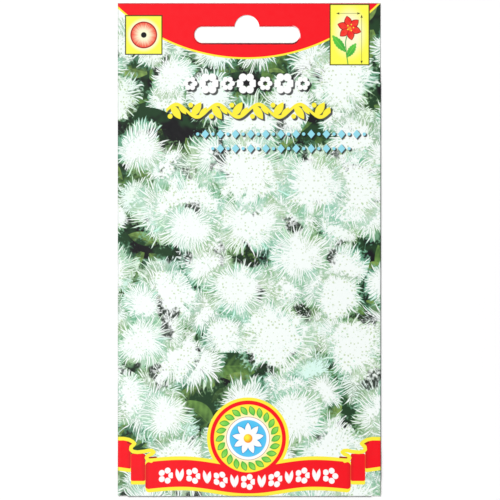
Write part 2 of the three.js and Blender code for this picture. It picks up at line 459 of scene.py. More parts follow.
@recipe("x y spacing seed scatter", "dx dy room chance_a chance_b chance_c")
def cell(x, y, spacing, seed, scatter):
    """The nearest of a field of scattered points.

    Gives how far (x, y) lies from it, the room it has, and three random numbers that belong to it.
    """
    tree = x.tree
    spot = combined(x + seed * CELL_STEPS[0], y + seed * CELL_STEPS[1])
    fineness = 1.0 / spacing
    nodes = []
    for feature in ("F1", "N_SPHERE_RADIUS"):
        node = tree.nodes.new("ShaderNodeTexVoronoi")
        node.voronoi_dimensions = "2D"
        node.feature = feature
        plug(tree, node.inputs["Vector"], spot)
        plug(tree, node.inputs["Scale"], fineness)
        plug(tree, node.inputs["Randomness"], scatter)
        nodes.append(node)
    centre_x, centre_y, _ = separated(Level(tree, nodes[0].outputs["Position"]))
    spot_x, spot_y, _ = separated(spot)
    room = Level(tree, nodes[1].outputs["Radius"]) * spacing
    chance_a, chance_b, chance_c = separated_ink(tree, nodes[0].outputs["Color"])
    return spot_x - centre_x, spot_y - centre_y, room, chance_a, chance_b, chance_c


# --------------------------------------------------------------------------------------------------
# Shapes to draw with. Each gives a distance in millimetres that is below 0 inside the shape.


@recipe("across up corner", "distance")
def round_corner(across, up, corner):
    """Where two edges meet in a rounded corner, from the distance past each."""
    over_x = across + corner
    over_y = up + corner
    outside = length(higher(over_x, 0.0), higher(over_y, 0.0))
    return outside + lower(higher(over_x, over_y), 0.0) - corner


def to_path(x, y, points):
    """The distance from a line through several points."""
    squares = []
    for (ax, ay), (bx, by) in zip(points, points[1:]):
        run_x, run_y = bx - ax, by - ay
        run = run_x * run_x + run_y * run_y
        before = -(ax * run_x + ay * run_y) / run
        part = limited(fused(x, run_x / run, fused(y, run_y / run, before)))
        off_x = fused(part, -run_x, x - ax)
        off_y = fused(part, -run_y, y - ay)
        squares.append(fused(off_x, off_x, off_y * off_y))
    return maths("SQRT", functools.reduce(lower, squares))


@recipe("x y count", "along aside")
def in_sector(x, y, count):
    """How far out and aside the point lies in the nearest of count equal sectors round the origin."""
    step = FULL_TURN / count
    turn = maths("ARCTAN2", y, x) / step
    aside = (fraction(turn + 0.5) - 0.5) * step
    reach = length(x, y)
    return reach * cosine(aside), reach * sine(aside)


PETAL_SLOPE = 0.8  # keeps a petal's distances about true where its sides slant
ROUND_PETAL = 0.36  # a round petal's radius as a share of its flower's


@recipe("along aside start end half", "distance")
def petal(along, aside, start, end, half):
    """A pointed petal or leaf that runs from start to end."""
    share = (along - start) / (end - start) * 2.0 - 1.0
    return (abs(aside) - (1.0 - share * share) * half) * PETAL_SLOPE


@recipe("x y ax ay bx by half", "distance along aside")
def leaf_between(x, y, ax, ay, bx, by, half):
    """A leaf from one point to another."""
    run = length(bx - ax, by - ay)
    way_x = (bx - ax) / run
    way_y = (by - ay) / run
    along = (x - ax) * way_x + (y - ay) * way_y
    aside = (y - ay) * way_x - (x - ax) * way_y
    return petal(along, aside, 0.0, run, half), along / run, aside


@recipe("x y petals radius", "distance")
def blossom(x, y, petals, radius):
    """A plain open flower with round petals."""
    along, aside = in_sector(x, y, petals)
    return length(along - radius * (1 - ROUND_PETAL), aside) - radius * ROUND_PETAL


@recipe("x spacing first last", "dx number")
def in_row(x, spacing, first, last):
    """How far x lies from the nearest of a row of motifs, and the number of that motif."""
    number = lower(higher(maths("ROUND", x / spacing), first), last)
    return x - number * spacing, number


def every_other(number):
    """0 for an even number and 1 for an odd one."""
    return abs(fraction(number * 0.5)) * 2.0


def inks():
    return bpy.context.scene.packet_colours


def layout():
    return Measures(bpy.context.scene.packet_layout)


# --------------------------------------------------------------------------------------------------
# The printed picture: fluffy white heads over leaves


STRAND_SHORTEST = 0.58  # a filament's length as a share of its ring's reach
STRAND_SPREAD = 0.45
STRAND_SHADOW_GAP = 0.1
HEAD_RINGS = (  # each ring's number of filaments, their reach, their curl and half their width
    (49.0, 1.06, 0.025, 0.24),
    (46.0, 0.98, -0.025, 0.24),
    (40.0, 0.86, 0.025, 0.27),
    (32.0, 0.72, -0.02, 0.3),
)
SCATTER = 0.8  # how unevenly the heads or leaves of a layer lie, from 0 to 1
HEAD_OVERLAP = 1.42  # how far a head reaches, as a share of the room that it has
HEAD_SMALLEST = 5.2  # a head with a smaller radius is left out
HEAD_LARGE = 8.5  # a head's largest radius lies, by chance, between these two
HEAD_LARGEST = 13.0
CROWD_SIZE = 13.0  # width of the places where the heads stand denser or sparser
CROWD_CONTRAST = 0.9
SPARSE_START = 12.0  # from this height up to the next, the heads grow sparser
SPARSE_END = 32.0
SPARSE_SHARE = 0.4  # share of the heads that are left out above it
TONE_LOWEST = 0.28  # how far below its layer's tone a head's own tone can lie
TONE_SPREAD = 0.8
SWAY_MIDDLE = 0.2  # how far filaments lean off their places, as a share of their room
SWAY_RIM = 0.6  # what is added to that at the rim
HEAD_KEYS = 917.0  # each head's filaments draw their chances in another part of so long a row
RING_KEYS = 31.3  # and each ring's this much further on
STRAND_SHADOW = 0.85


@recipe("turn out out_squared distance sway key count share curl width", "cover shadow lit")
def strands(turn, out, out_squared, distance, sway, key, count, share, curl, width):
    """One ring of filaments round a head.

    Gives how much of the point they and their shadow cover, and their brightness. turn is the way
    round the head and out the way to its rim, both from 0 to 1.
    """
    along = fused(out_squared, curl, turn) * count
    number = maths("FLOORED_MODULO", maths("FLOOR", along), count)
    lot = chances(fused(number, 1.37, key))
    aside = fused(lot[1] - 0.5, sway, fraction(along) - 0.5)
    across = abs(aside) * distance * (FULL_TURN / count)
    used = out / (share * fused(lot[0], STRAND_SPREAD, STRAND_SHORTEST))
    used_fourth = used * used * used * used
    thin = used_fourth * used_fourth * width
    beside = across + thin - width
    return inside(beside, 0.1), inside(beside - STRAND_SHADOW_GAP, 0.14), lot[2]


@recipe(
    "x y bend_x bend_y clump gloom shade speck sea_ink mint_ink under_ink spacing seed likely tone",
    "result_ink")
def head_layer(
    x, y, bend_x, bend_y, clump, gloom, shade, speck, sea, mint, under, spacing, seed, likely, tone,
):
    """A field of heads laid over what is under them. tone goes from 0, deep and green, to 1, lit."""
    colours = inks()
    bent_x = x + bend_x
    bent_y = y + bend_y
    dx, dy, room, chance_a, chance_b, chance_c = cell(bent_x, bent_y, spacing, seed, SCATTER)
    dense = noise(bent_x - dx, bent_y - dy, scale=CROWD_SIZE, seed=4.0, detail=1.0) - 0.5
    crowd = dense * CROWD_CONTRAST - ramp(bent_y - dy, SPARSE_START, SPARSE_END) * SPARSE_SHARE
    distance = length(dx, dy)
    reach = lower(room * HEAD_OVERLAP, fused(chance_a, HEAD_LARGEST - HEAD_LARGE, HEAD_LARGE))
    here = inside(HEAD_SMALLEST - reach, 0.01) * inside(chance_b - likely - crowd, 0.001)
    own_tone = limited(fused(chance_c, TONE_SPREAD, tone - TONE_LOWEST))
    pale = mixed(sea, mint, fused(own_tone, 0.5, 0.5))
    light = mixed(mint, between(colours.white, colours.mint, 0.1), limited(own_tone + 0.6))
    deep = mixed(colours.moss, mixed(sea, mint, own_tone * 0.3), fused(own_tone, 0.45, 0.24))
    deep = mixed(deep, between(colours.moss, colours.night, 0.6), gloom)
    out = distance / reach + clump * 0.5
    halo = ramp(fused(shade, 0.6, out), fused(gloom, 0.12, 1.0), 0.8) * fused(gloom, 0.3, 0.65)
    result = mixed(under, deep, halo * here)
    turn = fused(maths("ARCTAN2", dy, dx), 1 / FULL_TURN, chance_c * 7.0)
    out_squared = out * out
    sway = fused(out_squared, SWAY_RIM, SWAY_MIDDLE)
    key = fused(chance_c, HEAD_KEYS, seed)
    for number, ring in enumerate(HEAD_RINGS):
        own_key = key + number * RING_KEYS
        cover, shadow, lit = strands(turn, out, out_squared, distance, sway, own_key, *ring)
        body = mixed(pale, light, limited(fused(lit, 1.6, 0.25 * number + 0.35)))
        result = mixed(result, deep, shadow * here * STRAND_SHADOW)
        result = mixed(result, body, cover * here)
    rough = fused(shade, 0.6, out) + clump
    core_rim = fused(chance_a, 0.25, 0.6)
    core_full = fused(chance_a, 0.3, 0.26)
    core = ramp(rough, core_rim, core_full) * here
    flecked = mixed(light, sea, ramp(fused(out, -0.25, shade), -0.26, -0.44) * 0.7)
    middle = mixed(flecked, colours.bract, speck * fused(chance_a, 0.35, 0.25))
    return mixed(result, middle, core)


@recipe("x y under_ink spacing seed likely fresh", "result_ink")
def leaf_layer(x, y, under, spacing, seed, likely, fresh):
    """Leaves lying at all angles, each with a midrib, side veins and one half in more light."""
    colours = inks()
    dx, dy, room, chance_a, chance_b, chance_c = cell(x, y, spacing, seed, SCATTER)
    turn = chance_a * FULL_TURN
    along = dx * cosine(turn) + dy * sine(turn)
    aside = dy * cosine(turn) - dx * sine(turn) + 0.02 * along * along
    distance = petal(along, aside, room * -1.3, room * 1.3, room * (0.4 + 0.3 * chance_c))
    body = inside(distance, 0.2) * inside(chance_b - likely, 0.01)
    lit = ramp(aside / room, -0.5, 0.5)
    vein = sine((along + abs(aside) * 0.7) * 3.2) * 0.1
    rib = stroke(aside, 0.1, 0.2) * 0.3
    even = lit * 0.7 + vein + rib
    tone = limited(even + (noise(x, y, scale=3.0, seed=seed, detail=3.0) - 0.5) * 0.9)
    green = mixed(colours.leaf, colours.bract, fresh)
    return mixed(under, mixed(colours.moss, green, tone), body)


LEAF_LAYERS = (  # each layer's spacing, seed, share of places that hold a leaf, and freshness
    (16.0, 2.0, 0.95, 0.3),
    (10.0, 3.0, 0.75, 0.7),
)
SPECK_SHARE = 0.55  # share of the places that hold a green speck
BEND = 4.4  # how far the heads' outlines are bent off the round
HEAD_LAYERS = (  # each layer's spacing, seed, share of places that hold a head, and tone
    (17.0, 30.0, 0.95, 0.15),
    (19.0, 31.0, 0.92, 0.4),
    (21.0, 32.0, 0.88, 0.7),
    (23.0, 33.0, 0.82, 0.95),
    (25.0, 34.0, 0.74, 1.15),
    (26.0, 35.0, 0.64, 1.15),
)


def flower_picture(x, y):
    """The whole picture, from the dark ground up to the topmost heads."""
    colours = inks()
    depth = noise(x, y, scale=8.0, seed=1.0)
    result = mixed(colours.night, colours.moss, ramp(depth, 0.42, 0.58))
    large, small = LEAF_LAYERS
    result = leaf_layer(x, y, result, *large)
    result = leaf_layer(*after(result, x, y), result, *small)
    bend_x, bend_y = noises(x, y, 11.0, 7.0, 1.0)
    bend_x = fused(bend_x, BEND, -BEND / 2)
    bend_y = fused(bend_y, BEND, -BEND / 2)
    clump = (noise(x, y, scale=3.2, seed=5.0, detail=1.0) - 0.5) * 0.6
    shade = noise(x, y, scale=0.9, seed=6.0, detail=1.0) - 0.5
    speck_x, speck_y, _, speck_a, speck_b, _ = cell(x, y, 1.15, 8.0, 1.0)
    speck = inside(length(speck_x, speck_y) - 0.1 - 0.22 * speck_a, 0.2)
    speck = speck * inside(speck_b - SPECK_SHARE, 0.01)
    hue, hue_b = noises(x, y, 11.0, 9.0, 2.0)
    sea = mixed(colours.sea, colours.olive, ramp(hue, 0.42, 0.6))
    mint = mixed(colours.mint, colours.dew, ramp(hue_b, 0.4, 0.62))
    gloom = ramp(noise(x, y, scale=9.0, seed=11.0), 0.6, 0.68)
    common = (bend_x, bend_y, clump, gloom, shade, speck, sea, mint)
    for layer in HEAD_LAYERS:
        result = head_layer(*after(result, x, y), *common, result, *layer)
    return result


# --------------------------------------------------------------------------------------------------
# The header, the two growing signs, the ornaments, the ribbon and the seal


print_layer = recipe("x y under_ink", "result_ink")  # for a drawing that is laid on what is under it


@print_layer
def header(x, y, under):
    """The red header above a wide arc, with its yellow line."""
    colours = inks()
    where = layout()
    arc = length(x - where.arc_x, y - where.arc_y) - where.arc_radius
    result = mixed(under, colours.yellow, inside(arc - where.arc_line))
    return mixed(result, colours.red, inside(arc))


@recipe("x y half_width half_height under_ink fill_ink", "result_ink")
def framed(x, y, half_width, half_height, under, fill):
    """A filled box with a thin dark frame."""
    box = higher(abs(x) - half_width, abs(y) - half_height)
    result = mixed(under, inks().outline, inside(box))
    return mixed(result, fill, inside(box + layout().sign_frame))


@print_layer
def sun_sign(x, y, under):
    """The sign for a sunny place: a disc with a dot."""
    colours = inks()
    where = layout()
    dx = x - where.sun_x
    dy = y - where.sun_y
    distance = length(dx, dy)
    paling = ramp(distance, where.sun_radius, where.sun_radius + 1.6)
    fill = mixed(colours.cream, colours.sign_yellow, paling)
    result = framed(dx, dy, where.sun_half_width, where.sun_half_height, under, fill)
    way = maths("ARCTAN2", dy, dx) * 26.0
    rays = (noise(way, distance * 0.25, scale=1.0, seed=41.0, detail=1.0) - 0.5) * 1.9
    glow = ramp(distance + rays, where.sun_radius * 0.3, where.sun_radius * 1.02)
    disc = mixed(colours.cream, colours.coral, glow)
    result = mixed(result, disc, inside(distance - where.sun_radius))
    result = mixed(result, colours.dark_red, stroke(distance - where.sun_radius, 0.17))
    return mixed(result, colours.night, inside(distance - where.sun_radius * 0.22, 0.12))


@recipe("x y ax ay bx by", "cover")
def arrow(x, y, ax, ay, bx, by):
    """A thin line with a head at each end."""
    run = length(bx - ax, by - ay)
    way_x = (bx - ax) / run
    way_y = (by - ay) / run
    along = (x - ax) * way_x + (y - ay) * way_y
    aside = abs((y - ay) * way_x - (x - ax) * way_y)
    tip = lower(along, run - along)
    head = higher(aside - tip * 0.36, tip - 0.95)
    line = higher(aside - 0.07, 0.4 - tip)
    return higher(inside(head), inside(line) * 0.75)


@print_layer
def plant_sign(x, y, under):
    """The sign for how wide and how tall the plant grows: a red flower between two arrows."""
    colours = inks()
    where = layout()
    dx = x - where.plant_x
    dy = y - where.plant_y
    away_x = dx / (where.plant_half_width * 0.95)
    away_y = (dy - 0.6) / (where.plant_half_height * 0.95)
    away = length(away_x, away_y)
    fill = mixed(colours.cream, colours.sign_yellow, ramp(away, 0.35, 1.05))
    result = framed(dx, dy, where.plant_half_width, where.plant_half_height, under, fill)
    stem = to_path(dx, dy, ((-0.9, -0.6), (-1.25, -2.3), (-1.0, -5.6), (-0.5, -8.9)))
    result = mixed(result, colours.stem, inside(stem - 0.14))
    for base_x, base_y, tip_x, tip_y, half in (
        (-1.05, -5.4, -5.35, -0.1, 1.25),
        (-1.0, -7.1, 2.05, -2.5, 1.15),
    ):
        distance, along, aside = leaf_between(dx, dy, base_x, base_y, tip_x, tip_y, half)
        teeth = abs(fraction(along * 7.0) - 0.5) * 0.3
        green = mixed(colours.stem, colours.fresh, limited(along * 1.2 + 0.15 + aside * 0.25))
        result = mixed(result, green, inside(distance + teeth, 0.15))
        rib = stroke(aside, 0.06, 0.14) * inside(distance + 0.25) * 0.6
        result = mixed(result, colours.lime, rib)
    flower_x = dx + 0.08
    flower_y = dy - 2.0
    lean = 0.2
    turned_x = flower_x * math.cos(lean) + flower_y * math.sin(lean)
    turned_y = flower_y * math.cos(lean) - flower_x * math.sin(lean)
    along, aside = in_sector(turned_y, turned_x * -1.0, 6.0)
    outline = petal(along, aside, 0.0, 3.75, 1.12)
    tone = limited(noise(flower_x, flower_y, scale=1.3, seed=42.0, detail=1.0) * 1.4 - 0.2)
    result = mixed(result, mixed(colours.red, colours.coral, tone), inside(outline))
    seam = stroke(along * 0.5 - abs(aside) * 0.866, 0.07) * inside(outline)
    rim = stroke(outline + 0.04, 0.11) * inside(1.2 - along, 0.5)
    result = mixed(result, colours.dark_red, higher(rim, seam))
    heart = length(flower_x - 0.1, flower_y + 0.1)
    result = mixed(result, colours.orange, inside(heart - 0.55, 0.35))
    anther_along, anther_aside = in_sector(flower_x - 0.3, flower_y - 0.15, 5.0)
    anther = inside(length(anther_along - 0.95, anther_aside) - 0.2, 0.15)
    result = mixed(result, colours.yellow, anther)
    reach_x = where.plant_half_width * 0.6
    reach_y = where.plant_half_height * 0.8
    across = arrow(dx, dy, -4.1, 6.45, 3.3, 6.45)
    up = arrow(dx, dy, reach_x, -8.9, reach_x, reach_y - 1.4)
    return mixed(result, colours.outline, higher(across, up))


@recipe("x y", "distance")
def flower_row(x, y):
    """A row of open flowers, large and small."""
    dx, number = in_row(x, 5.7, -3.0, 3.0)
    small = every_other(number)
    return blossom(dx, y, 6.0, 3.3 - small * 1.1)


@recipe("x y", "distance")
def vine_row(x, y):
    """A waving stem with leaves and berries on alternate sides."""
    half = 6.25
    stem_y = sine(x * (math.pi / half)) * 1.9
    stem = higher(abs(y - stem_y) * 0.75 - 0.42, abs(x) - half * 4)
    dx, number = in_row(x - half / 2, half, -4.0, 3.0)
    side = 1.0 - every_other(number) * 2.0
    inner_y = y * side
    leaf, _, _ = leaf_between(dx, inner_y, -1.7, 1.9, 1.3, -2.6, 1.15)
    leaf_b, _, _ = leaf_between(dx, inner_y, 0.6, 1.8, 3.0, -1.1, 0.7)
    berry = length(dx + 1.9, inner_y + 1.7) - 0.75
    return lower(stem, lower(lower(leaf, leaf_b), berry))


@recipe("x y half_width", "distance")
def bead_row(x, y, half_width):
    """A thin row of lozenges and dots."""
    dx, number = in_row(x, 2.3, -50.0, 50.0)
    odd = every_other(number)
    lozenge = (abs(dx) + abs(y) * 0.85 - 1.15) * 0.75
    dot = length(dx, y) - 0.5
    return higher(lozenge * (1.0 - odd) + dot * odd, abs(x) - half_width)


@recipe("x y", "distance")
def ribbon_row(x, y):
    """Flowers with a pair of leaves between them."""
    dx, number = in_row(x, 4.15, -6.0, 6.0)
    odd = every_other(number)
    flower = blossom(dx, y, 5.0, 2.5)
    left, _, _ = leaf_between(abs(dx), y, 0.15, -1.9, 1.0, 2.0, 0.62)
    return flower * (1.0 - odd) + left * odd


SHADOW_GROWTH = 0.12  # how far a printed shadow reaches past the shape that throws it
SHADOW_DEPTH = 0.92


def with_shadow(x, y, under, ink_colour, shape, shift, *rest):
    """Lays a shape on what is under it, with a dark printed shadow down and to the right."""
    shadow = inside(shape(x - shift, y + shift, *rest) - SHADOW_GROWTH, 0.25)
    result = mixed(under, inks().night, shadow * SHADOW_DEPTH)
    return mixed(result, ink_colour, inside(shape(x, y, *rest), 0.12))


def ornaments(x, y, under):
    """The rows of plain ornament across the picture's upper part."""
    colours = inks()
    where = layout()
    lower_beads = where.bead_row_y - where.bead_row_step
    result = under
    for row_x, row_y, *row in (
        (where.flower_row_x, where.flower_row_y, colours.white, flower_row, 0.5),
        (where.vine_row_x, where.vine_row_y, colours.yellow, vine_row, 0.5),
        (where.bead_row_x, where.bead_row_y, colours.sky, bead_row, 0.35, 26.5),
        (where.bead_row_x, lower_beads, colours.sky, bead_row, 0.35, 21.9),
    ):
        result = with_shadow(x - row_x, y - row_y, result, *row)
    return result


RIBBON_HALF_WAVES = (20, 26)  # lengths of half a wave, inside and outside its crest
RIBBON_HOOKS = (  # the yellow line that the border draws round the ribbon's two folds
    (40.6, -57.4), (37.8, -57.35), (36.2, -57.65), (35.1, -58.25), (34.5, -58.85), (34.9, -59.35),
    (35.5, -59.85), (35.6, -60.65), (35.0, -61.25), (33.6, -61.45), (31.4, -61.2), (30.2, -60.9),
    (29.2, -60.95), (28.6, -61.4), (29.2, -62.0), (30.4, -62.45), (30.85, -63.1), (30.5, -63.75),
    (29.4, -64.1),
)


@print_layer
def ribbon(x, y, under):
    """The folded red ribbon with yellow borders, and the ring of the seal that grows out of it."""
    colours = inks()
    where = layout()
    border = where.ribbon_border
    half = where.ribbon_half_height
    u = abs(x - where.seal_x)
    past = u - where.ribbon_crest
    inner_half, outer_half = RIBBON_HALF_WAVES
    phase = lower(past, 0.0) * (math.pi / inner_half) + higher(past, 0.0) * (math.pi / outer_half)
    middle = where.ribbon_y + cosine(phase) * where.ribbon_wave
    up = abs(y - middle)
    grain = noise(x, y, scale=5.0, seed=51.0) - 0.5
    result = under
    for start, end, top, bottom, slope in (
        (where.ribbon_middle_end, 42.0, -57.9, -66.5, 0.14),
        (where.ribbon_main_end, where.ribbon_middle_end, -61.9, -70.2, 0.0),
    ):
        centre = (start + end) / 2
        slant = (u - start) * slope
        across = abs(u - centre) - (end - start) / 2
        fold = ramp(u - start, 1.4, 0.0) * 0.35 + grain * 0.3
        red = mixed(colours.red, colours.dark_red, limited(fold))
        for drop, tone in ((border, colours.yellow), (0.0, red)):
            from_middle = abs(y - slant - (top + bottom - drop) / 2)
            box = round_corner(across, from_middle - (top - bottom + drop) / 2, 0.5)
            result = mixed(result, tone, inside(box))
    ring = length(x - where.seal_x, y - where.seal_y)
    band = u - where.ribbon_main_end
    rim = lower(round_corner(band, up - half - border, 1.4), ring - where.seal_ring - 0.95)
    result = mixed(result, colours.yellow, inside(rim))
    red = lower(round_corner(band, up - half, 1.1), ring - where.seal_ring)
    fold = ramp(band, -1.6, 0.0) * 0.3 + grain * 0.15
    result = mixed(result, mixed(colours.red, colours.dark_red, limited(fold)), inside(red))
    for *crease, thick in (
        ((36.6, -58.55), (35.0, -59.0), 0.22), ((30.4, -63.15), (27.9, -62.95), 0.24),
    ):
        result = mixed(result, colours.dark_red, inside(to_path(u, y, crease) - thick))
    hooks = to_path(u, y, RIBBON_HOOKS)
    result = mixed(result, colours.yellow, inside(hooks - border / 2))
    motif = inside(ribbon_row(x - where.seal_x, y - middle + 0.55), 0.12)
    return mixed(result, colours.white, motif)


SEAL_LEAVES = 22.0
DAISY_PETALS = 9.0


@print_layer
def seal(x, y, under):
    """The seal: a ring of leaves round a plain daisy."""
    colours = inks()
    where = layout()
    dx = x - where.seal_x
    dy = y - where.seal_y
    distance = length(dx, dy)
    field = mixed(colours.cream, colours.yellow, ramp(distance, 6.0, 8.8))
    result = mixed(under, field, inside(distance - where.seal_disc))
    along, aside = in_sector(dx, dy, SEAL_LEAVES)
    leaf, rib, _ = leaf_between(along, aside, 7.2, -0.75, 9.7, 0.75, 0.72)
    leaf_ink = mixed(colours.fresh, colours.lime, limited(rib))
    result = mixed(result, colours.stem, inside(leaf - 0.14))
    result = mixed(result, leaf_ink, inside(leaf + 0.06))
    result = mixed(result, colours.dark_red, inside(distance - where.seal_heart - 1.0))
    result = mixed(result, colours.white, inside(distance - where.seal_heart - 0.88))
    heart = mixed(colours.blue, colours.white, ramp(distance, 1.0, 7.5) * 0.12)
    result = mixed(result, heart, inside(distance - where.seal_heart))
    petal_along, petal_aside = in_sector(dy, dx, DAISY_PETALS)
    daisy = petal(petal_along, petal_aside, 0.4, where.seal_heart * 0.86, 0.92)
    result = mixed(result, colours.blue_shade, inside(daisy - 0.16))
    result = mixed(result, colours.white, inside(daisy))
    eye = mixed(colours.yellow, colours.orange, ramp(length(dx + 0.35, dy - 0.35), 0.3, 1.7))
    return mixed(result, eye, inside(distance - 1.35))


@print_layer
def punched_rim(x, y, under):
    """Painted shade in a thin line round the hang slot, darkest along its lower side, and white torn
    paper at its right end.
    """
    sizes = Measures(bpy.context.scene.packet_sizes)
    radius = sizes.slot_height / 2
    dx = x - sizes.slot_x
    dy = y - sizes.slot_bottom - radius
    bar = round_corner(abs(dx) - sizes.slot_width / 2, abs(dy) - radius, radius)
    low = ramp(dy, radius * -0.5, radius * -0.95) * ramp(dx, -18.0, -10.0)
    ragged = noise(x, y, scale=1.6, seed=82.0) - 0.3
    # painted shade round the slot's edge, darkest along its lower side
    rim_shade = stroke(bar - 0.16, fused(ragged, 0.3, 0.2), 0.16) * fused(low, 0.7, 0.16)
    result = mixed(under, inks().night, rim_shade)
    torn = stroke(bar - 0.1, fused(ragged, 0.6, 0.04), 0.2)
    torn = torn * ramp(dx, 13.6, 15.0) * ramp(dy, -1.6, -0.4)
    return mixed(result, inks().white, torn * 0.85)


# Painted shade along the packet's folds and cut edges: a thin dark line, deepest at the right and the
# bottom
EDGE_SHADE_WIDTH = 0.2
EDGE_SHADE_RIGHT = 0.78  # how dark each side's painted shade line is, from 0 to 1
EDGE_SHADE_LEFT = 0.38
EDGE_SHADE_BOTTOM = 0.95
EDGE_SHADE_TOP = 0.5


@print_layer
def rubbed_edges(x, y, under):
    """Painted shade: a thin dark line along the folds and cut edges, deepest at the right and the
    bottom.
    """
    shade_wobble = (noise(x, y, scale=4.0, seed=81.0, detail=3.0) - 0.5) * 0.4
    half_width = WIDTH / 2
    half_height = HEIGHT / 2
    result = under
    for distance, depth in (
        (half_width - x, EDGE_SHADE_RIGHT),
        (x + half_width, EDGE_SHADE_LEFT),
        (y + half_height, EDGE_SHADE_BOTTOM),
        (half_height - y, EDGE_SHADE_TOP),
    ):
        # painted shade, a little uneven along each edge
        line = inside(distance - EDGE_SHADE_WIDTH, 0.22)
        result = mixed(result, inks().night, line * limited(shade_wobble + depth))
    return result


# --------------------------------------------------------------------------------------------------
# The back: a sowing chart, growing signs and a sprig, with no words. Here x runs to the right as
# seen from behind.


PANEL_HALF_WIDTH = 35.5
PANEL_HALF_HEIGHT = 60.0
PANEL_DEPTH = 10.0  # how far below the packet's middle the panel's own middle lies
PANEL_CORNER = 4.0


@print_layer
def panel_frame(x, y, under):
    """A pale panel with a thin green double frame."""
    colours = inks()
    edge = round_corner(
        abs(x) - PANEL_HALF_WIDTH, abs(y + PANEL_DEPTH) - PANEL_HALF_HEIGHT, PANEL_CORNER)
    result = mixed(under, between(colours.white, colours.cream, 0.35), inside(edge))
    result = mixed(result, colours.stem, stroke(edge, 0.22))
    return mixed(result, colours.fresh, stroke(edge + 0.9, 0.1))


MONTH = 5.0  # width of a month in the chart
ROW = 5.0


@print_layer
def chart(x, y, under):
    """The sowing chart: twelve months across, with bars for sowing, planting out and flowering."""
    colours = inks()
    box = higher(abs(x) - MONTH * 6, abs(y) - ROW * 1.5)
    result = mixed(under, colours.white, inside(box))
    stripes = inside(box) * inside(fraction(y / (ROW * 2) + 0.25) - 0.5, 0.01)
    result = mixed(result, between(colours.sky, colours.white, 0.7), stripes)
    for start, end, row, tone in (
        (-MONTH * 4, -MONTH, ROW, colours.fresh),
        (-MONTH * 1.5, MONTH * 0.5, 0.0, colours.orange),
        (MONTH * 0.5, MONTH * 4, -ROW, colours.red),
    ):
        bar = round_corner(abs(x - (start + end) / 2) - (end - start) / 2, abs(y - row) - 1.5, 0.8)
        result = mixed(result, tone, inside(bar))
    months = 0.5 - abs(fraction(x / MONTH) - 0.5)
    rows = 0.5 - abs(fraction(y / ROW + 0.5) - 0.5)
    lines = inside(lower(months, rows) * MONTH - 0.09) * inside(box - 0.1)
    return mixed(result, colours.outline, lines * 0.8)


@recipe("x y", "cover")
def sprout(x, y):
    """A stem with two leaves."""
    left, _, _ = leaf_between(abs(x), y, 0.0, 0.3, 1.5, 1.7, 0.5)
    return higher(inside(left), inside(higher(abs(x) - 0.13, abs(y + 0.5) - 1.0)))


SIGN_STEP = 15.0  # between the middles of two signs


@print_layer
def growing_signs(x, y, under):
    """Four round signs: a sunny place, watering, the space between plants and the seed's depth."""
    colours = inks()
    dx, _ = in_row(x - SIGN_STEP / 2, SIGN_STEP, -2.0, 1.0)
    disc = length(dx, y) - 5.4
    fill = mixed(colours.sign_yellow, colours.cream, ramp(disc, 0.0, -5.0))
    result = mixed(under, fill, inside(disc))
    result = mixed(result, colours.stem, stroke(disc, 0.24))
    along, aside = in_sector(x + 22.5, y, 12.0)
    rays = higher(abs(aside) - 0.26, abs(along - 3.2) - 0.75)
    result = mixed(result, colours.orange, inside(lower(along - 1.9, rays)))
    drop_x = abs(x + 7.5)
    bulb = length(drop_x, y + 0.9) - 1.9
    tip = higher(drop_x * 0.9 + (y + 0.9) * 0.436 - 1.9, 0.0 - (y + 0.1))
    result = mixed(result, colours.blue, inside(lower(bulb, tip)))
    glint = inside(abs(length(x + 7.5, y + 0.9) - 1.25) - 0.14) * inside(x + 7.9, 0.1)
    result = mixed(result, colours.white, glint)
    pair = sprout(abs(x - 7.5) - 2.0, y - 0.2)
    result = mixed(result, colours.stem, pair)
    result = mixed(result, colours.outline, arrow(x, y, 5.1, -2.6, 9.9, -2.6))
    ground = inside(higher(abs(y - 0.6) - 0.16, abs(x - 22.5) - 4.1))
    result = mixed(result, colours.dark_red, ground)
    result = mixed(result, colours.stem, sprout(x - 21.3, y - 2.0))
    seed = length((x - 21.3) * 2.2, y + 2.0) - 0.95
    result = mixed(result, colours.night, inside(seed))
    return mixed(result, colours.outline, arrow(x, y, 24.4, 0.4, 24.4, -3.1))


OVAL_HALF_WIDTH = 19.0
OVAL_HALF_HEIGHT = 21.0
SPRIG_LEAVES = (  # where each starts and ends, and half its width
    (0.0, -14.0, 12.5, -9.5, 2.6),
    (0.0, -9.0, 10.5, -3.5, 2.4),
    (0.0, -4.0, 8.0, 2.5, 2.0),
)
SPRIG_HEADS = ((0.0, 13.5, 5.0), (-8.6, 9.0, 4.3), (8.6, 9.4, 4.4))  # middle and radius


@recipe("x y under_ink radius", "result_ink")
def drawn_head(x, y, under, radius):
    """One drawn fluffy head."""
    colours = inks()
    result = under
    for count, share, turn, tone in (
        (34.0, 1.0, 0.0, colours.sea),
        (30.0, 0.88, 0.3, colours.mint),
        (22.0, 0.66, 0.1, colours.white),
    ):
        turned_x = x * math.cos(turn) + y * math.sin(turn)
        turned_y = y * math.cos(turn) - x * math.sin(turn)
        along, aside = in_sector(turned_x, turned_y, count)
        spoke = higher(abs(aside) - 0.15 - along * 0.02, along - radius * share)
        result = mixed(result, tone, inside(spoke))
    return mixed(result, colours.bract, inside(length(x, y) - 0.9, 0.5) * 0.6)


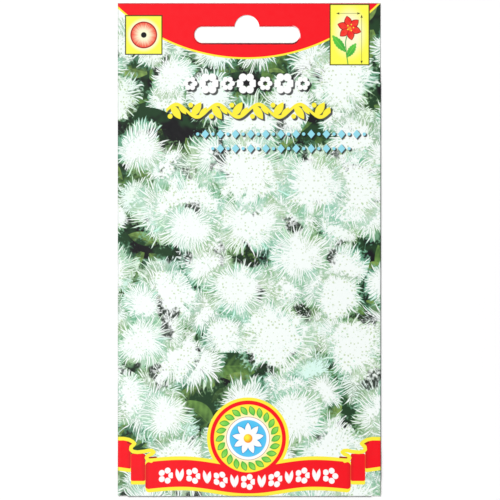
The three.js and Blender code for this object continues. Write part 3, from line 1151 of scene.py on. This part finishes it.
@print_layer
def sprig(x, y, under):
    """A drawn sprig with three heads on a pale blue oval."""
    colours = inks()
    oval = length(x / OVAL_HALF_WIDTH, y / OVAL_HALF_HEIGHT) - 1.0
    sky = mixed(colours.sky, colours.white, ramp(y, -20.0, 12.0))
    result = mixed(under, sky, inside(oval * OVAL_HALF_WIDTH))
    result = mixed(result, colours.stem, stroke(oval * OVAL_HALF_WIDTH, 0.2))
    for end_x, end_y, _ in SPRIG_HEADS:
        stem = to_path(x, y, ((0.0, -18.0), (0.0, -3.0), (end_x, end_y)))
        result = mixed(result, colours.stem, inside(stem - 0.32))
    for ax, ay, bx, by, half in SPRIG_LEAVES:
        leaf, along, aside = leaf_between(abs(x), y, ax, ay, bx, by, half)
        notched = leaf + abs(fraction(along * 8.0) - 0.5) * 0.35
        tone = mixed(colours.stem, colours.fresh, limited(along * 0.8 + aside * 0.2))
        result = mixed(result, tone, inside(notched, 0.12))
        result = mixed(result, colours.lime, stroke(aside, 0.07, 0.12) * inside(leaf + 0.3))
    for end_x, end_y, radius in SPRIG_HEADS:
        result = drawn_head(x - end_x, y - end_y, result, radius)
    return result


BAND_DEPTH = 66.0  # how far below the packet's middle the band's own middle lies
BAND_HALF = 3.6  # half the red's height
BAND_BORDER = 0.8


@print_layer
def back_band(x, y, under):
    """The red band at the foot, with yellow borders and a row of lozenges."""
    colours = inks()
    band = abs(y + BAND_DEPTH) - BAND_HALF
    result = mixed(under, colours.yellow, inside(band - BAND_BORDER))
    result = mixed(result, colours.red, inside(band))
    return mixed(result, colours.white, inside(bead_row(x, y + BAND_DEPTH, 33.0)))


# --------------------------------------------------------------------------------------------------
# Paper


def new_material(name):
    material = bpy.data.materials.new(name)
    material.use_nodes = True
    tree = material.node_tree
    shader = tree.nodes["Principled BSDF"]
    return material, tree, shader


def place(tree):
    """The point in millimetres in the packet's own frame."""
    coordinates = tree.nodes.new("ShaderNodeTexCoord")
    scale = tree.nodes.new("ShaderNodeVectorMath")
    scale.operation = "SCALE"
    scale.inputs["Scale"].default_value = 1 / MM
    tree.links.new(coordinates.outputs["Object"], scale.inputs[0])
    return separated(Level(tree, scale.outputs[0]))


def bumps(tree, shader, height, strength, depth):
    """Raises the surface by a level, depth millimetres at most."""
    bump = tree.nodes.new("ShaderNodeBump")
    bump.inputs["Strength"].default_value = strength
    bump.inputs["Distance"].default_value = depth * MM
    plug(tree, bump.inputs["Height"], height)
    tree.links.new(bump.outputs[0], shader.inputs["Normal"])


PRINT_LIGHT = 0.95  # share of the light that the whitest printed paper gives back
BARE_PAPER = ((0.86, 0.85, 0.8), (0.7, 0.68, 0.62))  # between its fibres and on them
SEED_SKIN = ((0.012, 0.009, 0.008), (0.075, 0.05, 0.034))  # dark and brown
DRY_SCALES = ((0.8, 0.74, 0.6), (0.52, 0.44, 0.32))  # light and dark
MILKY_GLUE = ((0.86, 0.82, 0.68), (0.94, 0.92, 0.85))  # thin and thick
GLUE_BUBBLE = (0.97, 0.96, 0.93)


def gloss(tree, shader, x, y, result):
    """A print on coated paper under a gloss film: soft orange-peel and a clear coat."""
    plug(tree, shader.inputs["Base Color"], mixed((0, 0, 0), result, PRINT_LIGHT))
    peel = noise(x, y, scale=1.6, seed=8.0)
    shader.inputs["Coat Weight"].default_value = 0.22
    shader.inputs["Coat Roughness"].default_value = 0.12
    shader.inputs["Specular IOR Level"].default_value = 0.25
    plug(tree, shader.inputs["Roughness"], 0.32 + (peel - 0.5) * 0.12)
    bumps(tree, shader, peel, 0.25, 0.02)


def front_print(name, layers):
    """The picture with the layers that are printed over it in one part of the front."""
    material, tree, shader = new_material(name)
    x, y, _ = place(tree)
    result = flower_picture(x, y)
    # the last layer paints shade along the edges
    for layer in (*layers, rubbed_edges):
        result = layer(*after(result, x, y), result)
    gloss(tree, shader, x, y, result)
    return material


CHART_Y = 34.0
SIGNS_Y = 15.0
SPRIG_Y = -22.0


def back_print():
    """The back: a panel with the chart, the signs and the sprig, between header and foot band."""
    colours = inks()
    material, tree, shader = new_material("back_print")
    x, y, _ = place(tree)
    seen_x = x * -1.0
    grain = noise(x, y, scale=2.2, seed=9.0, detail=3.0)
    result = mixed(colours.white, colours.dew, grain * 0.8 + 0.2)
    # the last layer paints shade along the edges
    for layer, middle in (
        (panel_frame, 0.0), (chart, CHART_Y), (growing_signs, SIGNS_Y), (sprig, SPRIG_Y),
        (back_band, 0.0), (header, 0.0), (rubbed_edges, 0.0),
    ):
        result = layer(*after(result, seen_x, y - middle), result)
    gloss(tree, shader, x, y, result)
    return material


def bare_paper(name, fibre):
    """Unprinted paper, with fibres that are fibre millimetres wide."""
    material, tree, shader = new_material(name)
    x, y, z = place(tree)
    fibres = noise(x + z, y, scale=fibre, seed=21.0, detail=5.0)
    tone = mixed(*BARE_PAPER, ramp(fibres, 0.35, 0.75))
    plug(tree, shader.inputs["Base Color"], tone)
    plug(tree, shader.inputs["Roughness"], 0.8 + (fibres - 0.5) * 0.2)
    bumps(tree, shader, fibres, 0.4, 0.02)
    return material


def seed_coat():
    """The seed's dark, finely ribbed skin."""
    material, tree, shader = new_material("seed_coat")
    x, y, z = place(tree)
    grain = noise(x + z, y - z, scale=0.22, seed=61.0, detail=3.0)
    blotch = noise(x, y, scale=1.7, seed=62.0)
    skin = mixed(*SEED_SKIN, ramp(grain + blotch * 0.5, 0.5, 1.0))
    plug(tree, shader.inputs["Base Color"], skin)
    plug(tree, shader.inputs["Roughness"], 0.45 + grain * 0.3)
    bumps(tree, shader, grain, 0.5, 0.03)
    return material


def seed_tuft():
    """The pale dry scales on the seed's top."""
    material, tree, shader = new_material("seed_tuft")
    x, y, z = place(tree)
    grain = noise(x - z, y + z, scale=0.3, seed=63.0)
    scales = mixed(*DRY_SCALES, ramp(grain, 0.3, 0.75))
    plug(tree, shader.inputs["Base Color"], scales)
    plug(tree, shader.inputs["Roughness"], 0.7 + grain * 0.2)
    return material


def dried_glue():
    """A thin dry glue line, milky, with small trapped bubbles."""
    material, tree, shader = new_material("dried_glue")
    x, y, _ = place(tree)
    cloud = noise(x, y, scale=2.4, seed=71.0, detail=3.0)
    bubble_x, bubble_y, _, bubble_size, _, _ = cell(x, y, 1.1, 72.0, 1.0)
    bubbles = inside(length(bubble_x, bubble_y) - bubble_size * 0.22, 0.1)
    milky = mixed(*MILKY_GLUE, ramp(cloud, 0.3, 0.7))
    plug(tree, shader.inputs["Base Color"], mixed(milky, GLUE_BUBBLE, bubbles * 0.6))
    plug(tree, shader.inputs["Roughness"], 0.3 + cloud * 0.3)
    bumps(tree, shader, cloud + bubbles * 0.5, 0.3, 0.02)
    return material


# --------------------------------------------------------------------------------------------------
# The sheet: cut flat, folded, given its thickness and punched


PILLOW_ACROSS = 2.4  # the larger, the flatter the pouch is across and the steeper at its sides
PILLOW_SIDES = 1.4  # the larger, the more softly it begins at its sides
PILLOW_UP = 0.62  # below 1, its highest part lies below the middle
RIPPLES = ((9.3, 1.4, 23), (13.1, 0.9, 17))  # across and up: period, sway and the sway's period
LEFT_EASE = 3  # over this width the front gives way where the fold is narrower in the header
FOLD_STEPS = 8  # faces round half a turn
TAB_STEPS = 7
BACK_STEPS = 64
FLAP_STEPS = 6
LOW_ROW = -73  # a row of points between the bottom fold and the side tab


def smooth(value, start, end):
    """0 at start, 1 at end, and smooth in between."""
    share = min(1, max(0, (value - start) / (end - start)))
    return share * share * (3 - 2 * share)


def swaying(along, aside, period, sway, sway_period):
    """A soft wave along one way, which sways on its way along the other."""
    return math.sin(along / period + sway * math.sin(aside / sway_period))


class Fold(Measures):
    """Where each point of the flat sheet goes when the packet is folded. Millimetres."""

    def __init__(self, sizes):
        super().__init__(sizes)
        self.flap_stack = self.paper + self.glue
        self.body_thickness = self.paper * 3 + self.glue + self.tab_clearance
        self.header_thickness = self.paper * 2 + self.glue
        self.tab_radius = (self.body_thickness - self.flap_stack) / 2
        self.front_right = WIDTH / 2 - self.tab_radius
        self.bottom_radius = (self.body_thickness + self.flap_stack) / 2
        self.bottom_edge = -HEIGHT / 2 + self.bottom_radius
        self.tab_edge = WIDTH / 2 - self.tab_width

    def lift(self, y):
        """How far every layer is raised to lie over the bottom flap."""
        return self.flap_stack * (1 - smooth(y, self.lift_full, self.lift_start))

    def edge_thickness(self, y):
        header = smooth(y, self.header_ramp, self.header_bottom)
        return self.body_thickness + (self.header_thickness - self.body_thickness) * header

    def pillow(self, x, y):
        """How far the front stands above its edges."""
        up = (y - self.bottom_edge) / (self.header_ramp - self.bottom_edge)
        if not 0 < up < 1:
            return 0
        across = max(0, 1 - abs(x / self.front_right) ** PILLOW_ACROSS)
        rise = math.sin(math.pi * up ** PILLOW_UP) * across ** PILLOW_SIDES
        ripple_across, ripple_up = RIPPLES
        wave = swaying(x, y, *ripple_across) * swaying(y, x, *ripple_up)
        return self.bulge * rise + self.ripple * wave * rise

    def front(self, x, y):
        return Vector((x, y, self.lift(y) + self.edge_thickness(y) + self.pillow(x, y)))

    def left_fold(self, angle, y):
        radius = self.edge_thickness(y) / 2
        return Vector((
            -WIDTH / 2 + radius + radius * math.cos(angle), y,
            self.lift(y) + radius + radius * math.sin(angle)))

    def right_fold(self, angle, y):
        height = self.lift(y) + self.edge_thickness(y) - self.tab_radius
        return Vector((
            self.front_right + self.tab_radius * math.cos(angle), y,
            height + self.tab_radius * math.sin(angle)))

    def back(self, share, y):
        start = -WIDTH / 2 + self.edge_thickness(y) / 2
        return Vector((start + (WIDTH / 2 - self.back_short - start) * share, y, self.lift(y)))

    def tab(self, share, y):
        cut = max(0, self.tab_chamfer - (self.tab_top - y), self.tab_chamfer - (y - self.tab_bottom))
        x = self.front_right + (self.tab_edge + cut - self.front_right) * share
        return Vector((x, y, self.lift(y) + self.flap_stack))


def spread(start, end, step):
    """Even stations from start to end, about step apart, without the start."""
    count = max(1, round(abs(end - start) / step))
    return [start + (end - start) * number / count for number in range(1, count + 1)]


def sheet_columns(fold):
    """The stations across the sheet, from the tab's edge over the front to the back's free edge."""
    half_turn = [math.pi * number / FOLD_STEPS for number in range(1, FOLD_STEPS + 1)]
    half = fold.flap_fold_half
    columns = [("tab", 1 - share) for share in [0, *spread(0, 1, 1 / TAB_STEPS)]]
    columns += [("right", -math.pi / 2 + angle) for angle in half_turn]
    left_start = -WIDTH / 2 + fold.body_thickness / 2
    panel = []
    for start, end in ((fold.front_right, half), (half, -half), (-half, left_start)):
        panel += spread(start, end, 1)
    columns += [("front", x) for x in panel]
    columns += [("left", math.pi / 2 + angle) for angle in half_turn]
    columns += [("back", share) for share in spread(0, 1, 1 / BACK_STEPS)]
    return columns


def sheet_rows(fold):
    """The stations up the sheet, from the flap's edge round the bottom fold to the header's top."""
    rows = [("flap", share) for share in [0, *spread(0, 1, 1 / FLAP_STEPS)]]
    rows += [
        ("bottom", -math.pi / 2 - math.pi * number / FOLD_STEPS) for number in range(1, FOLD_STEPS)
    ]
    stops = [  # each with the step between the rows that lead up to it
        (fold.bottom_edge, 1), (LOW_ROW, 1), (fold.tab_bottom, 1.2), (fold.lift_full, 1.2),
        (fold.lift_start, 0.5), (fold.tab_top, 1.2), (fold.header_ramp, 0.5),
        (fold.header_bottom, 0.5), (HEIGHT / 2, 1.2),
    ]
    rows.append(("tube", fold.bottom_edge))
    for (start, _), (end, step) in zip(stops, stops[1:]):
        rows += [("tube", y) for y in spread(start, end, step)]
    return rows


def folded_place(fold, column, row):
    """Where a column and a row cross on the folded packet, or None where there is no paper."""
    panel, across = column
    part, up = row
    if part == "tube":
        if panel == "tab" or (panel == "right" and across < math.pi / 2 - HAIR):
            if not fold.tab_bottom - HAIR <= up <= fold.tab_top + HAIR:
                return None
            return fold.tab(across, up) if panel == "tab" else fold.right_fold(across, up)
        if panel == "right":
            return Vector((fold.front_right, up, fold.front(fold.front_right, up).z))
        if panel == "front":
            start = -WIDTH / 2 + fold.body_thickness / 2
            narrower = (fold.edge_thickness(up) - fold.body_thickness) / 2
            shift = narrower * smooth(across, start + LEFT_EASE, start)
            return fold.front(across + shift, up)
        return fold.left_fold(across, up) if panel == "left" else fold.back(across, up)
    if panel != "front" or abs(across) > fold.flap_fold_half + HAIR:
        return None
    if part == "bottom":
        return Vector((
            across, fold.bottom_edge + fold.bottom_radius * math.cos(up),
            fold.bottom_radius + fold.bottom_radius * math.sin(up)))
    end = -HEIGHT / 2 + fold.flap_height
    narrow = fold.flap_end_half / fold.flap_fold_half
    return Vector((across * (narrow + (1 - narrow) * up), end + (fold.bottom_edge - end) * up, 0))


FRONT_TOP, FRONT_MIDDLE, FRONT_BOTTOM, BACK_PRINT = range(4)
INNER_SIDE = 4  # from a printed side's material to that of the same paper's inner side
CUT_EDGE = 8  # likewise to that of its cut edge
TOP_START = 26  # above this height the header, the signs and the ornaments are printed
BOTTOM_END = -42  # below this height the ribbon and the seal are printed
PUNCH_SIDES = 64
PUNCH_DEPTH = 4
SHARP_EDGE = math.radians(32)  # an edge that turns by more is shaded sharp


def folded_sheet(fold):
    """The sheet's printed side as one folded surface."""
    columns = sheet_columns(fold)
    rows = sheet_rows(fold)
    sheet = bmesh.new()
    bmesh.ops.create_grid(sheet, x_segments=len(columns) - 1, y_segments=len(rows) - 1, size=0.5)
    missing = []
    number_of = {}
    for vertex in sheet.verts:
        column = round((vertex.co.x + 0.5) * (len(columns) - 1))
        row = round((vertex.co.y + 0.5) * (len(rows) - 1))
        number_of[vertex] = column, row
        spot = folded_place(fold, columns[column], rows[row])
        if spot is None:
            missing.append(vertex)
        else:
            vertex.co = spot
    for face in sheet.faces:
        numbers = [number_of[vertex] for vertex in face.verts]
        middle = columns[min(column for column, row in numbers) + 1]
        on_back = middle[0] == "back" or (middle[0] == "left" and middle[1] > math.pi + HAIR)
        on_flap = rows[min(row for column, row in numbers)][0] == "flap"
        if on_back or on_flap or middle[0] == "tab":
            face.material_index = BACK_PRINT
        elif face.calc_center_median().y > TOP_START:
            face.material_index = FRONT_TOP
        elif face.calc_center_median().y < BOTTOM_END:
            face.material_index = FRONT_BOTTOM
        else:
            face.material_index = FRONT_MIDDLE
    bmesh.ops.delete(sheet, geom=missing, context="VERTS")
    bmesh.ops.reverse_faces(sheet, faces=sheet.faces)
    return sheet


def slot_bar_punch(fold):
    """The punch for the hang slot's bar with its round ends."""
    punch = bmesh.new()
    radius = fold.slot_height / 2
    reach = fold.slot_width / 2 - radius
    bmesh.ops.create_cone(
        punch, cap_ends=True, segments=PUNCH_SIDES, radius1=radius, radius2=radius, depth=PUNCH_DEPTH)
    for vertex in punch.verts:
        vertex.co.x += fold.slot_x + math.copysign(reach, vertex.co.x)
        vertex.co.y += fold.slot_bottom + radius
    return punch


def slot_hump_punch(fold):
    """The punch for the round hump over the bar."""
    punch = bmesh.new()
    radius = fold.hump_radius
    middle = fold.slot_bottom + fold.slot_height + fold.hump_rise - radius
    bmesh.ops.create_cone(
        punch, cap_ends=True, segments=PUNCH_SIDES, radius1=radius, radius2=radius, depth=PUNCH_DEPTH,
        matrix=Matrix.Translation((fold.slot_x, middle, 0)))
    return punch


def object_from(shape, name, materials):
    mesh = bpy.data.meshes.new(name)
    shape.to_mesh(mesh)
    shape.free()
    for material in materials:
        mesh.materials.append(material)
    made = bpy.data.objects.new(name, mesh)
    bpy.context.scene.collection.objects.link(made)
    return made


def with_modifiers_applied(made):
    graph = bpy.context.evaluated_depsgraph_get()
    mesh = bpy.data.meshes.new_from_object(made.evaluated_get(graph))
    made.modifiers.clear()
    made.data = mesh
    return made


FRONT_MAP = (0.003, 0.003, 0.52, 0.975)  # a side's patch of the map: left, bottom, width and height
BACK_MAP = (0.99, 0.14, -0.46, 0.85)
INNER_MAP = (0.53, 0.003, 0.2, 0.13)
EDGE_MAP = (0.75, 0.003, 0.1, 0.13)
EDGE_MAP_RISE = 0.02  # a millimetre of height moves a cut edge's point this far over its patch


def lay_flat(piece):
    """Gives the sheet a map on which its front and its back each lie flat and whole."""
    spots = piece.data.uv_layers.new(name="OFBake").data
    for face in piece.data.polygons:
        patch, rise = FRONT_MAP, 0
        if face.material_index >= CUT_EDGE:
            patch, rise = EDGE_MAP, EDGE_MAP_RISE
        elif face.material_index >= INNER_SIDE:
            patch = INNER_MAP
        elif face.material_index == BACK_PRINT:
            patch = BACK_MAP
        left, bottom, width, height = patch
        for corner, vertex in zip(face.loop_indices, face.vertices):
            x, y, z = piece.data.vertices[vertex].co
            spots[corner].uv = (
                left + (x / WIDTH + 0.5) * width + z * rise,
                bottom + (y / HEIGHT + 0.5) * height + z * rise)


def rest_of(piece, node):
    """Shades the finished piece, scales it to metres and sets it in the frame for its solid."""
    piece.data.transform(Matrix.Scale(MM, 4))
    piece.data.shade_smooth()
    piece.data.set_sharp_from_angle(angle=SHARP_EDGE)
    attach(piece, BODY)
    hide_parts(node)


# --------------------------------------------------------------------------------------------------
# The seeds


SEED_SIDES = 5
SEED_RINGS = 3  # between a seed's two ends
SEED_TIP = 0.3  # share of its width that a seed has at its lower tip
SEED_TOP = 0.3  # share of its width that is added on the way to its top
SEED_BELLY = 0.55  # share of its width that its belly adds
BELLY_UP = 1.1  # above 1, its belly lies nearer the top
COLLAR_HEIGHT = 0.04  # share of its length
COLLAR_FLARE = 1.2
SCALES = 3
SCALE_SHORTER = 0.25  # share of the longest scale by which each next one is shorter
SCALE_RADIUS = 0.045
SCALE_SPREAD = math.radians(17)
HEAP_CELL = 0.16  # the heap's height is kept on squares of this width
DROPS = 8000  # a heap takes no more tries than this
NESTING = 0.7  # share of its width that a seed adds to the heap's height
HEAP_FALL = 0.3  # share of its height that the heap loses from its middle to its rim
SMALLEST_SEED, LARGEST_SEED = 0.84, 1.04
TOUCHED_LENGTHS = 8  # parts of a seed's length at whose ends it touches the heap


def by_place(parts, spot_of):
    """Puts a shape's vertices or faces in the order of their places, so that it is always the same."""
    for number, part in enumerate(sorted(parts, key=lambda part: tuple(spot_of(part)))):
        part.index = number
    parts.sort()


def one_seed(sizes):
    """A seed that lies along X: a slender five-sided body, a collar and a tuft of three scales."""
    seed = bmesh.new()
    bmesh.ops.create_cone(
        seed, cap_ends=True, segments=SEED_SIDES, radius1=1, radius2=1, depth=1,
        matrix=Matrix.Translation((0, 0, 0.5)))
    ribs = [edge for edge in seed.edges if abs(edge.verts[0].co.z - edge.verts[1].co.z) > 0.5]
    bmesh.ops.subdivide_edges(seed, edges=ribs, cuts=SEED_RINGS, use_grid_fill=True)
    for vertex in seed.verts:
        share = vertex.co.z
        belly = SEED_BELLY * math.sin(math.pi * share ** BELLY_UP)
        wide = (SEED_TIP + SEED_TOP * share + belly) * sizes.width / 2
        vertex.co = Vector((vertex.co.x * wide, vertex.co.y * wide, share * sizes.length))
    top = max(seed.faces, key=lambda face: face.calc_center_median().z)
    collar = bmesh.ops.extrude_face_region(seed, geom=[top])["geom"]
    bmesh.ops.delete(seed, geom=[top], context="FACES_ONLY")
    rim = [made for made in collar if isinstance(made, bmesh.types.BMVert)]
    bmesh.ops.transform(
        seed, verts=rim, space=Matrix.Translation((0, 0, -sizes.length)),
        matrix=Matrix.Translation((0, 0, sizes.length * COLLAR_HEIGHT))
        @ Matrix.Diagonal((COLLAR_FLARE, COLLAR_FLARE, 1, 1)))
    pale = {face for vertex in rim for face in vertex.link_faces}
    for number in range(SCALES):
        long = sizes.tuft * (1 - SCALE_SHORTER * number)
        around = Matrix.Rotation(FULL_TURN * number / SCALES, 4, "Z")
        leaning = Matrix.Translation((0, 0, sizes.length)) @ around
        leaning = leaning @ Matrix.Rotation(SCALE_SPREAD, 4, "Y")
        spike = bmesh.ops.create_cone(
            seed, cap_ends=True, segments=3, radius1=SCALE_RADIUS, radius2=SCALE_RADIUS / 6,
            depth=long, matrix=leaning @ Matrix.Translation((0, 0, long / 2)))
        pale |= {face for vertex in spike["verts"] for face in vertex.link_faces}
    for face in pale:
        face.material_index = 1
    bmesh.ops.transform(
        seed, verts=seed.verts,
        matrix=Matrix.Rotation(math.pi / 2, 4, "Y")
        @ Matrix.Translation((0, 0, -sizes.length / 2)))
    by_place(seed.verts, lambda vertex: vertex.co)
    by_place(seed.faces, lambda face: face.calc_center_median())
    return seed


def heap_places(sizes):
    """Where each seed comes to rest, dropped one by one onto those that already lie there."""
    draw = random.Random(sizes.draw)
    low, high = SEED_BOX[0] / MM, SEED_BOX[1] / MM
    middle = (low + high) / 2
    reach = (high - low - Vector((sizes.length, sizes.length, 0))) / 2
    touched_along = [
        sizes.length * (share / TOUCHED_LENGTHS - 0.5) for share in range(TOUCHED_LENGTHS + 1)
    ]
    touched_aside = [-sizes.width / 4, sizes.width / 4]
    tops = {}
    places = []
    for _ in range(DROPS):
        out = math.sqrt(draw.random())
        around = draw.uniform(0, FULL_TURN)
        turn = draw.uniform(0, FULL_TURN)
        roll = draw.uniform(0, FULL_TURN)
        grown = draw.uniform(SMALLEST_SEED, LARGEST_SEED)
        x = middle.x + out * math.cos(around) * reach.x
        y = middle.y + out * math.sin(around) * reach.y
        covered = {
            (round((x + along * math.cos(turn) - aside * math.sin(turn)) / HEAP_CELL),
             round((y + along * math.sin(turn) + aside * math.cos(turn)) / HEAP_CELL))
            for along in touched_along for aside in touched_aside
        }
        level = max(tops.get(square, low.z) for square in covered)
        ceiling = low.z + sizes.pile * (1 - HEAP_FALL * out * out)
        if level + sizes.width > ceiling or len(places) == sizes.count:
            continue
        tops.update({square: level + sizes.width * NESTING for square in covered})
        places.append(
            Matrix.Translation((x, y, level + sizes.width / 2)) @ Matrix.Rotation(turn, 4, "Z")
            @ Matrix.Rotation(roll, 4, "X") @ Matrix.Scale(grown, 4))
    return places


# --------------------------------------------------------------------------------------------------
# Operators


FLOOR_GAP = 0.02 * MM  # the floor's surface lies this far under the packet
FLOOR_SIZE = 3  # this and the lamps' places and widths are in metres
KEY_SPOT, KEY_WIDTH = (-0.8, 1.2, 2.15), 0.9
FILL_SPOT, FILL_WIDTH = (-0.9, -0.9, 1.5), 1.6


def floor_paint(look):
    """Pale matt paint."""
    material, tree, shader = new_material("floor")
    x, y, _ = place(tree)
    tone = noise(x, y, scale=60.0, seed=30.0)
    darker = between((0, 0, 0), look.floor, 0.97)
    plug(tree, shader.inputs["Base Color"], mixed(look.floor, darker, tone))
    shader.inputs["Roughness"].default_value = 0.9
    shader.inputs["Specular IOR Level"].default_value = 0.1
    return material


class PACKET_OT_stage(bpy.types.Operator):
    """Sets the floor, the lamps and the camera that looks straight down on the packet"""

    bl_idname = "packet.stage"
    bl_label = "Set the stage"

    view_width: size("View width", "Width of what the camera sees", 151.85)
    view_x: size("View across", "Where the camera looks, across the packet", 0.2)
    view_y: size("View up", "Where the camera looks, up the packet", -0.03)
    lens: amount("Lens", "Focal length in millimetres", 150)

    def execute(self, context):
        look = context.scene.packet_stage
        floor = bmesh.new()
        bmesh.ops.create_grid(
            floor, x_segments=1, y_segments=1, size=FLOOR_SIZE,
            matrix=Matrix.Translation((0, 0, -FLOOR_GAP)))
        object_from(floor, "floor", [floor_paint(look)])
        self.lamp(context, "key", KEY_SPOT, KEY_WIDTH, look.key)
        self.lamp(context, "fill", FILL_SPOT, FILL_WIDTH, look.fill)
        world = bpy.data.worlds.new("sky")
        world.use_nodes = True
        background = world.node_tree.nodes["Background"]
        background.inputs["Color"].default_value = (1, 1, 1, 1)
        background.inputs["Strength"].default_value = look.sky
        context.scene.world = world
        context.scene.view_settings.view_transform = "Standard"

        camera = bpy.data.cameras.new("camera")
        camera.lens = self.lens
        away = self.view_width / 2 / (camera.sensor_width / 2 / self.lens)
        seen = bpy.data.objects.new("camera", camera)
        seen.location = (self.view_x, self.view_y, away + SHEET_BOX[1].z / 2)
        context.scene.collection.objects.link(seen)
        context.scene.camera = seen
        return {"FINISHED"}

    def lamp(self, context, name, spot, width, power):
        light = bpy.data.lights.new(name, "AREA")
        light.shape = "DISK"
        light.size = width
        light.energy = power
        made = bpy.data.objects.new(name, light)
        made.location = spot
        made.rotation_euler = (-Vector(spot)).to_track_quat("-Z", "Y").to_euler()
        context.scene.collection.objects.link(made)


class PACKET_OT_sheet(bpy.types.Operator):
    """Folds, thickens, punches and prints the paper sheet"""

    bl_idname = "packet.sheet"
    bl_label = "Make the sheet"

    def execute(self, context):
        fold = Fold(context.scene.packet_sizes)
        edge = bare_paper("cut_edge", 0.3)
        inner = bare_paper("inner_paper", 0.8)
        printed = [
            front_print("front_top", (header, punched_rim, sun_sign, plant_sign, ornaments)),
            front_print("front_middle", ()),
            front_print("front_bottom", (ribbon, seal)),
            back_print(),
        ]
        materials = [*printed, *[inner] * len(printed), *[edge] * len(printed)]
        sheet = object_from(folded_sheet(fold), "seed_packet_sheet", materials)
        solid = sheet.modifiers.new("paper", "SOLIDIFY")
        solid.thickness = fold.paper
        solid.offset = -1
        solid.use_even_offset = True
        solid.material_offset = INNER_SIDE
        solid.material_offset_rim = CUT_EDGE
        punches = [
            object_from(slot_bar_punch(fold), "bar_punch", [edge]),
            object_from(slot_hump_punch(fold), "hump_punch", [edge]),
        ]
        for punch in punches:
            cut = sheet.modifiers.new(punch.name, "BOOLEAN")
            cut.object = punch
            cut.operation = "DIFFERENCE"
            cut.solver = "EXACT"
            cut.material_mode = "TRANSFER"
        with_modifiers_applied(sheet)
        for punch in punches:
            bpy.data.objects.remove(punch)
        lay_flat(sheet)
        rest_of(sheet, "packet_sheet")
        return {"FINISHED"}


class PACKET_OT_glue(bpy.types.Operator):
    """Gives the packet's three glue lines their dry, milky look"""

    bl_idname = "packet.glue"
    bl_label = "Finish the glue"

    def execute(self, context):
        glue = dried_glue()
        for node in ("side_glue", "flap_glue", "header_glue"):
            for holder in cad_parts[node].material_slots:
                holder.link = "OBJECT"
                holder.material = glue
        return {"FINISHED"}


class PACKET_OT_seeds(bpy.types.Operator):
    """Heaps the loose seeds near the bottom of the pouch"""

    bl_idname = "packet.seeds"
    bl_label = "Heap the seeds"

    def execute(self, context):
        sizes = Measures(context.scene.packet_seeds)
        pattern = bpy.data.meshes.new("seed_pattern")
        shape = one_seed(sizes)
        shape.to_mesh(pattern)
        shape.free()
        heap = bmesh.new()
        for spot in heap_places(sizes):
            seed = pattern.copy()
            seed.transform(spot)
            heap.from_mesh(seed)
            bpy.data.meshes.remove(seed)
        bpy.data.meshes.remove(pattern)
        seeds = object_from(heap, "seed_heap", [seed_coat(), seed_tuft()])
        rest_of(seeds, "seeds")
        return {"FINISHED"}


SETTINGS = {
    "packet_sizes": PacketSizes,
    "packet_layout": PrintLayout,
    "packet_colours": PrintColours,
    "packet_seeds": SeedSizes,
    "packet_stage": StageLook,
}
OPERATORS = (PACKET_OT_stage, PACKET_OT_sheet, PACKET_OT_glue, PACKET_OT_seeds)


class PACKET_PT_panel(bpy.types.Panel):
    """Lists the packet's operators, sizes, inks and lights"""

    bl_idname = "PACKET_PT_panel"
    bl_label = "Seed packet"
    bl_space_type = "VIEW_3D"
    bl_region_type = "UI"
    bl_category = "Seed packet"

    def draw(self, context):
        for operator in OPERATORS:
            self.layout.operator(operator.bl_idname)
        for name, group in SETTINGS.items():
            box = self.layout.box()
            box.label(text=group.__doc__)
            for setting in group.__annotations__:
                box.prop(getattr(context.scene, name), setting)


CLASSES = (*SETTINGS.values(), *OPERATORS, PACKET_PT_panel)


def register():
    for made in CLASSES:
        bpy.utils.register_class(made)
    for name, group in SETTINGS.items():
        setattr(bpy.types.Scene, name, bpy.props.PointerProperty(type=group))


def unregister():
    for name in SETTINGS:
        delattr(bpy.types.Scene, name)
    for made in reversed(CLASSES):
        bpy.utils.unregister_class(made)


def main():
    register()
    bpy.ops.packet.stage()
    bpy.ops.packet.sheet()
    bpy.ops.packet.glue()
    bpy.ops.packet.seeds()


if __name__ == "__main__":
    main()
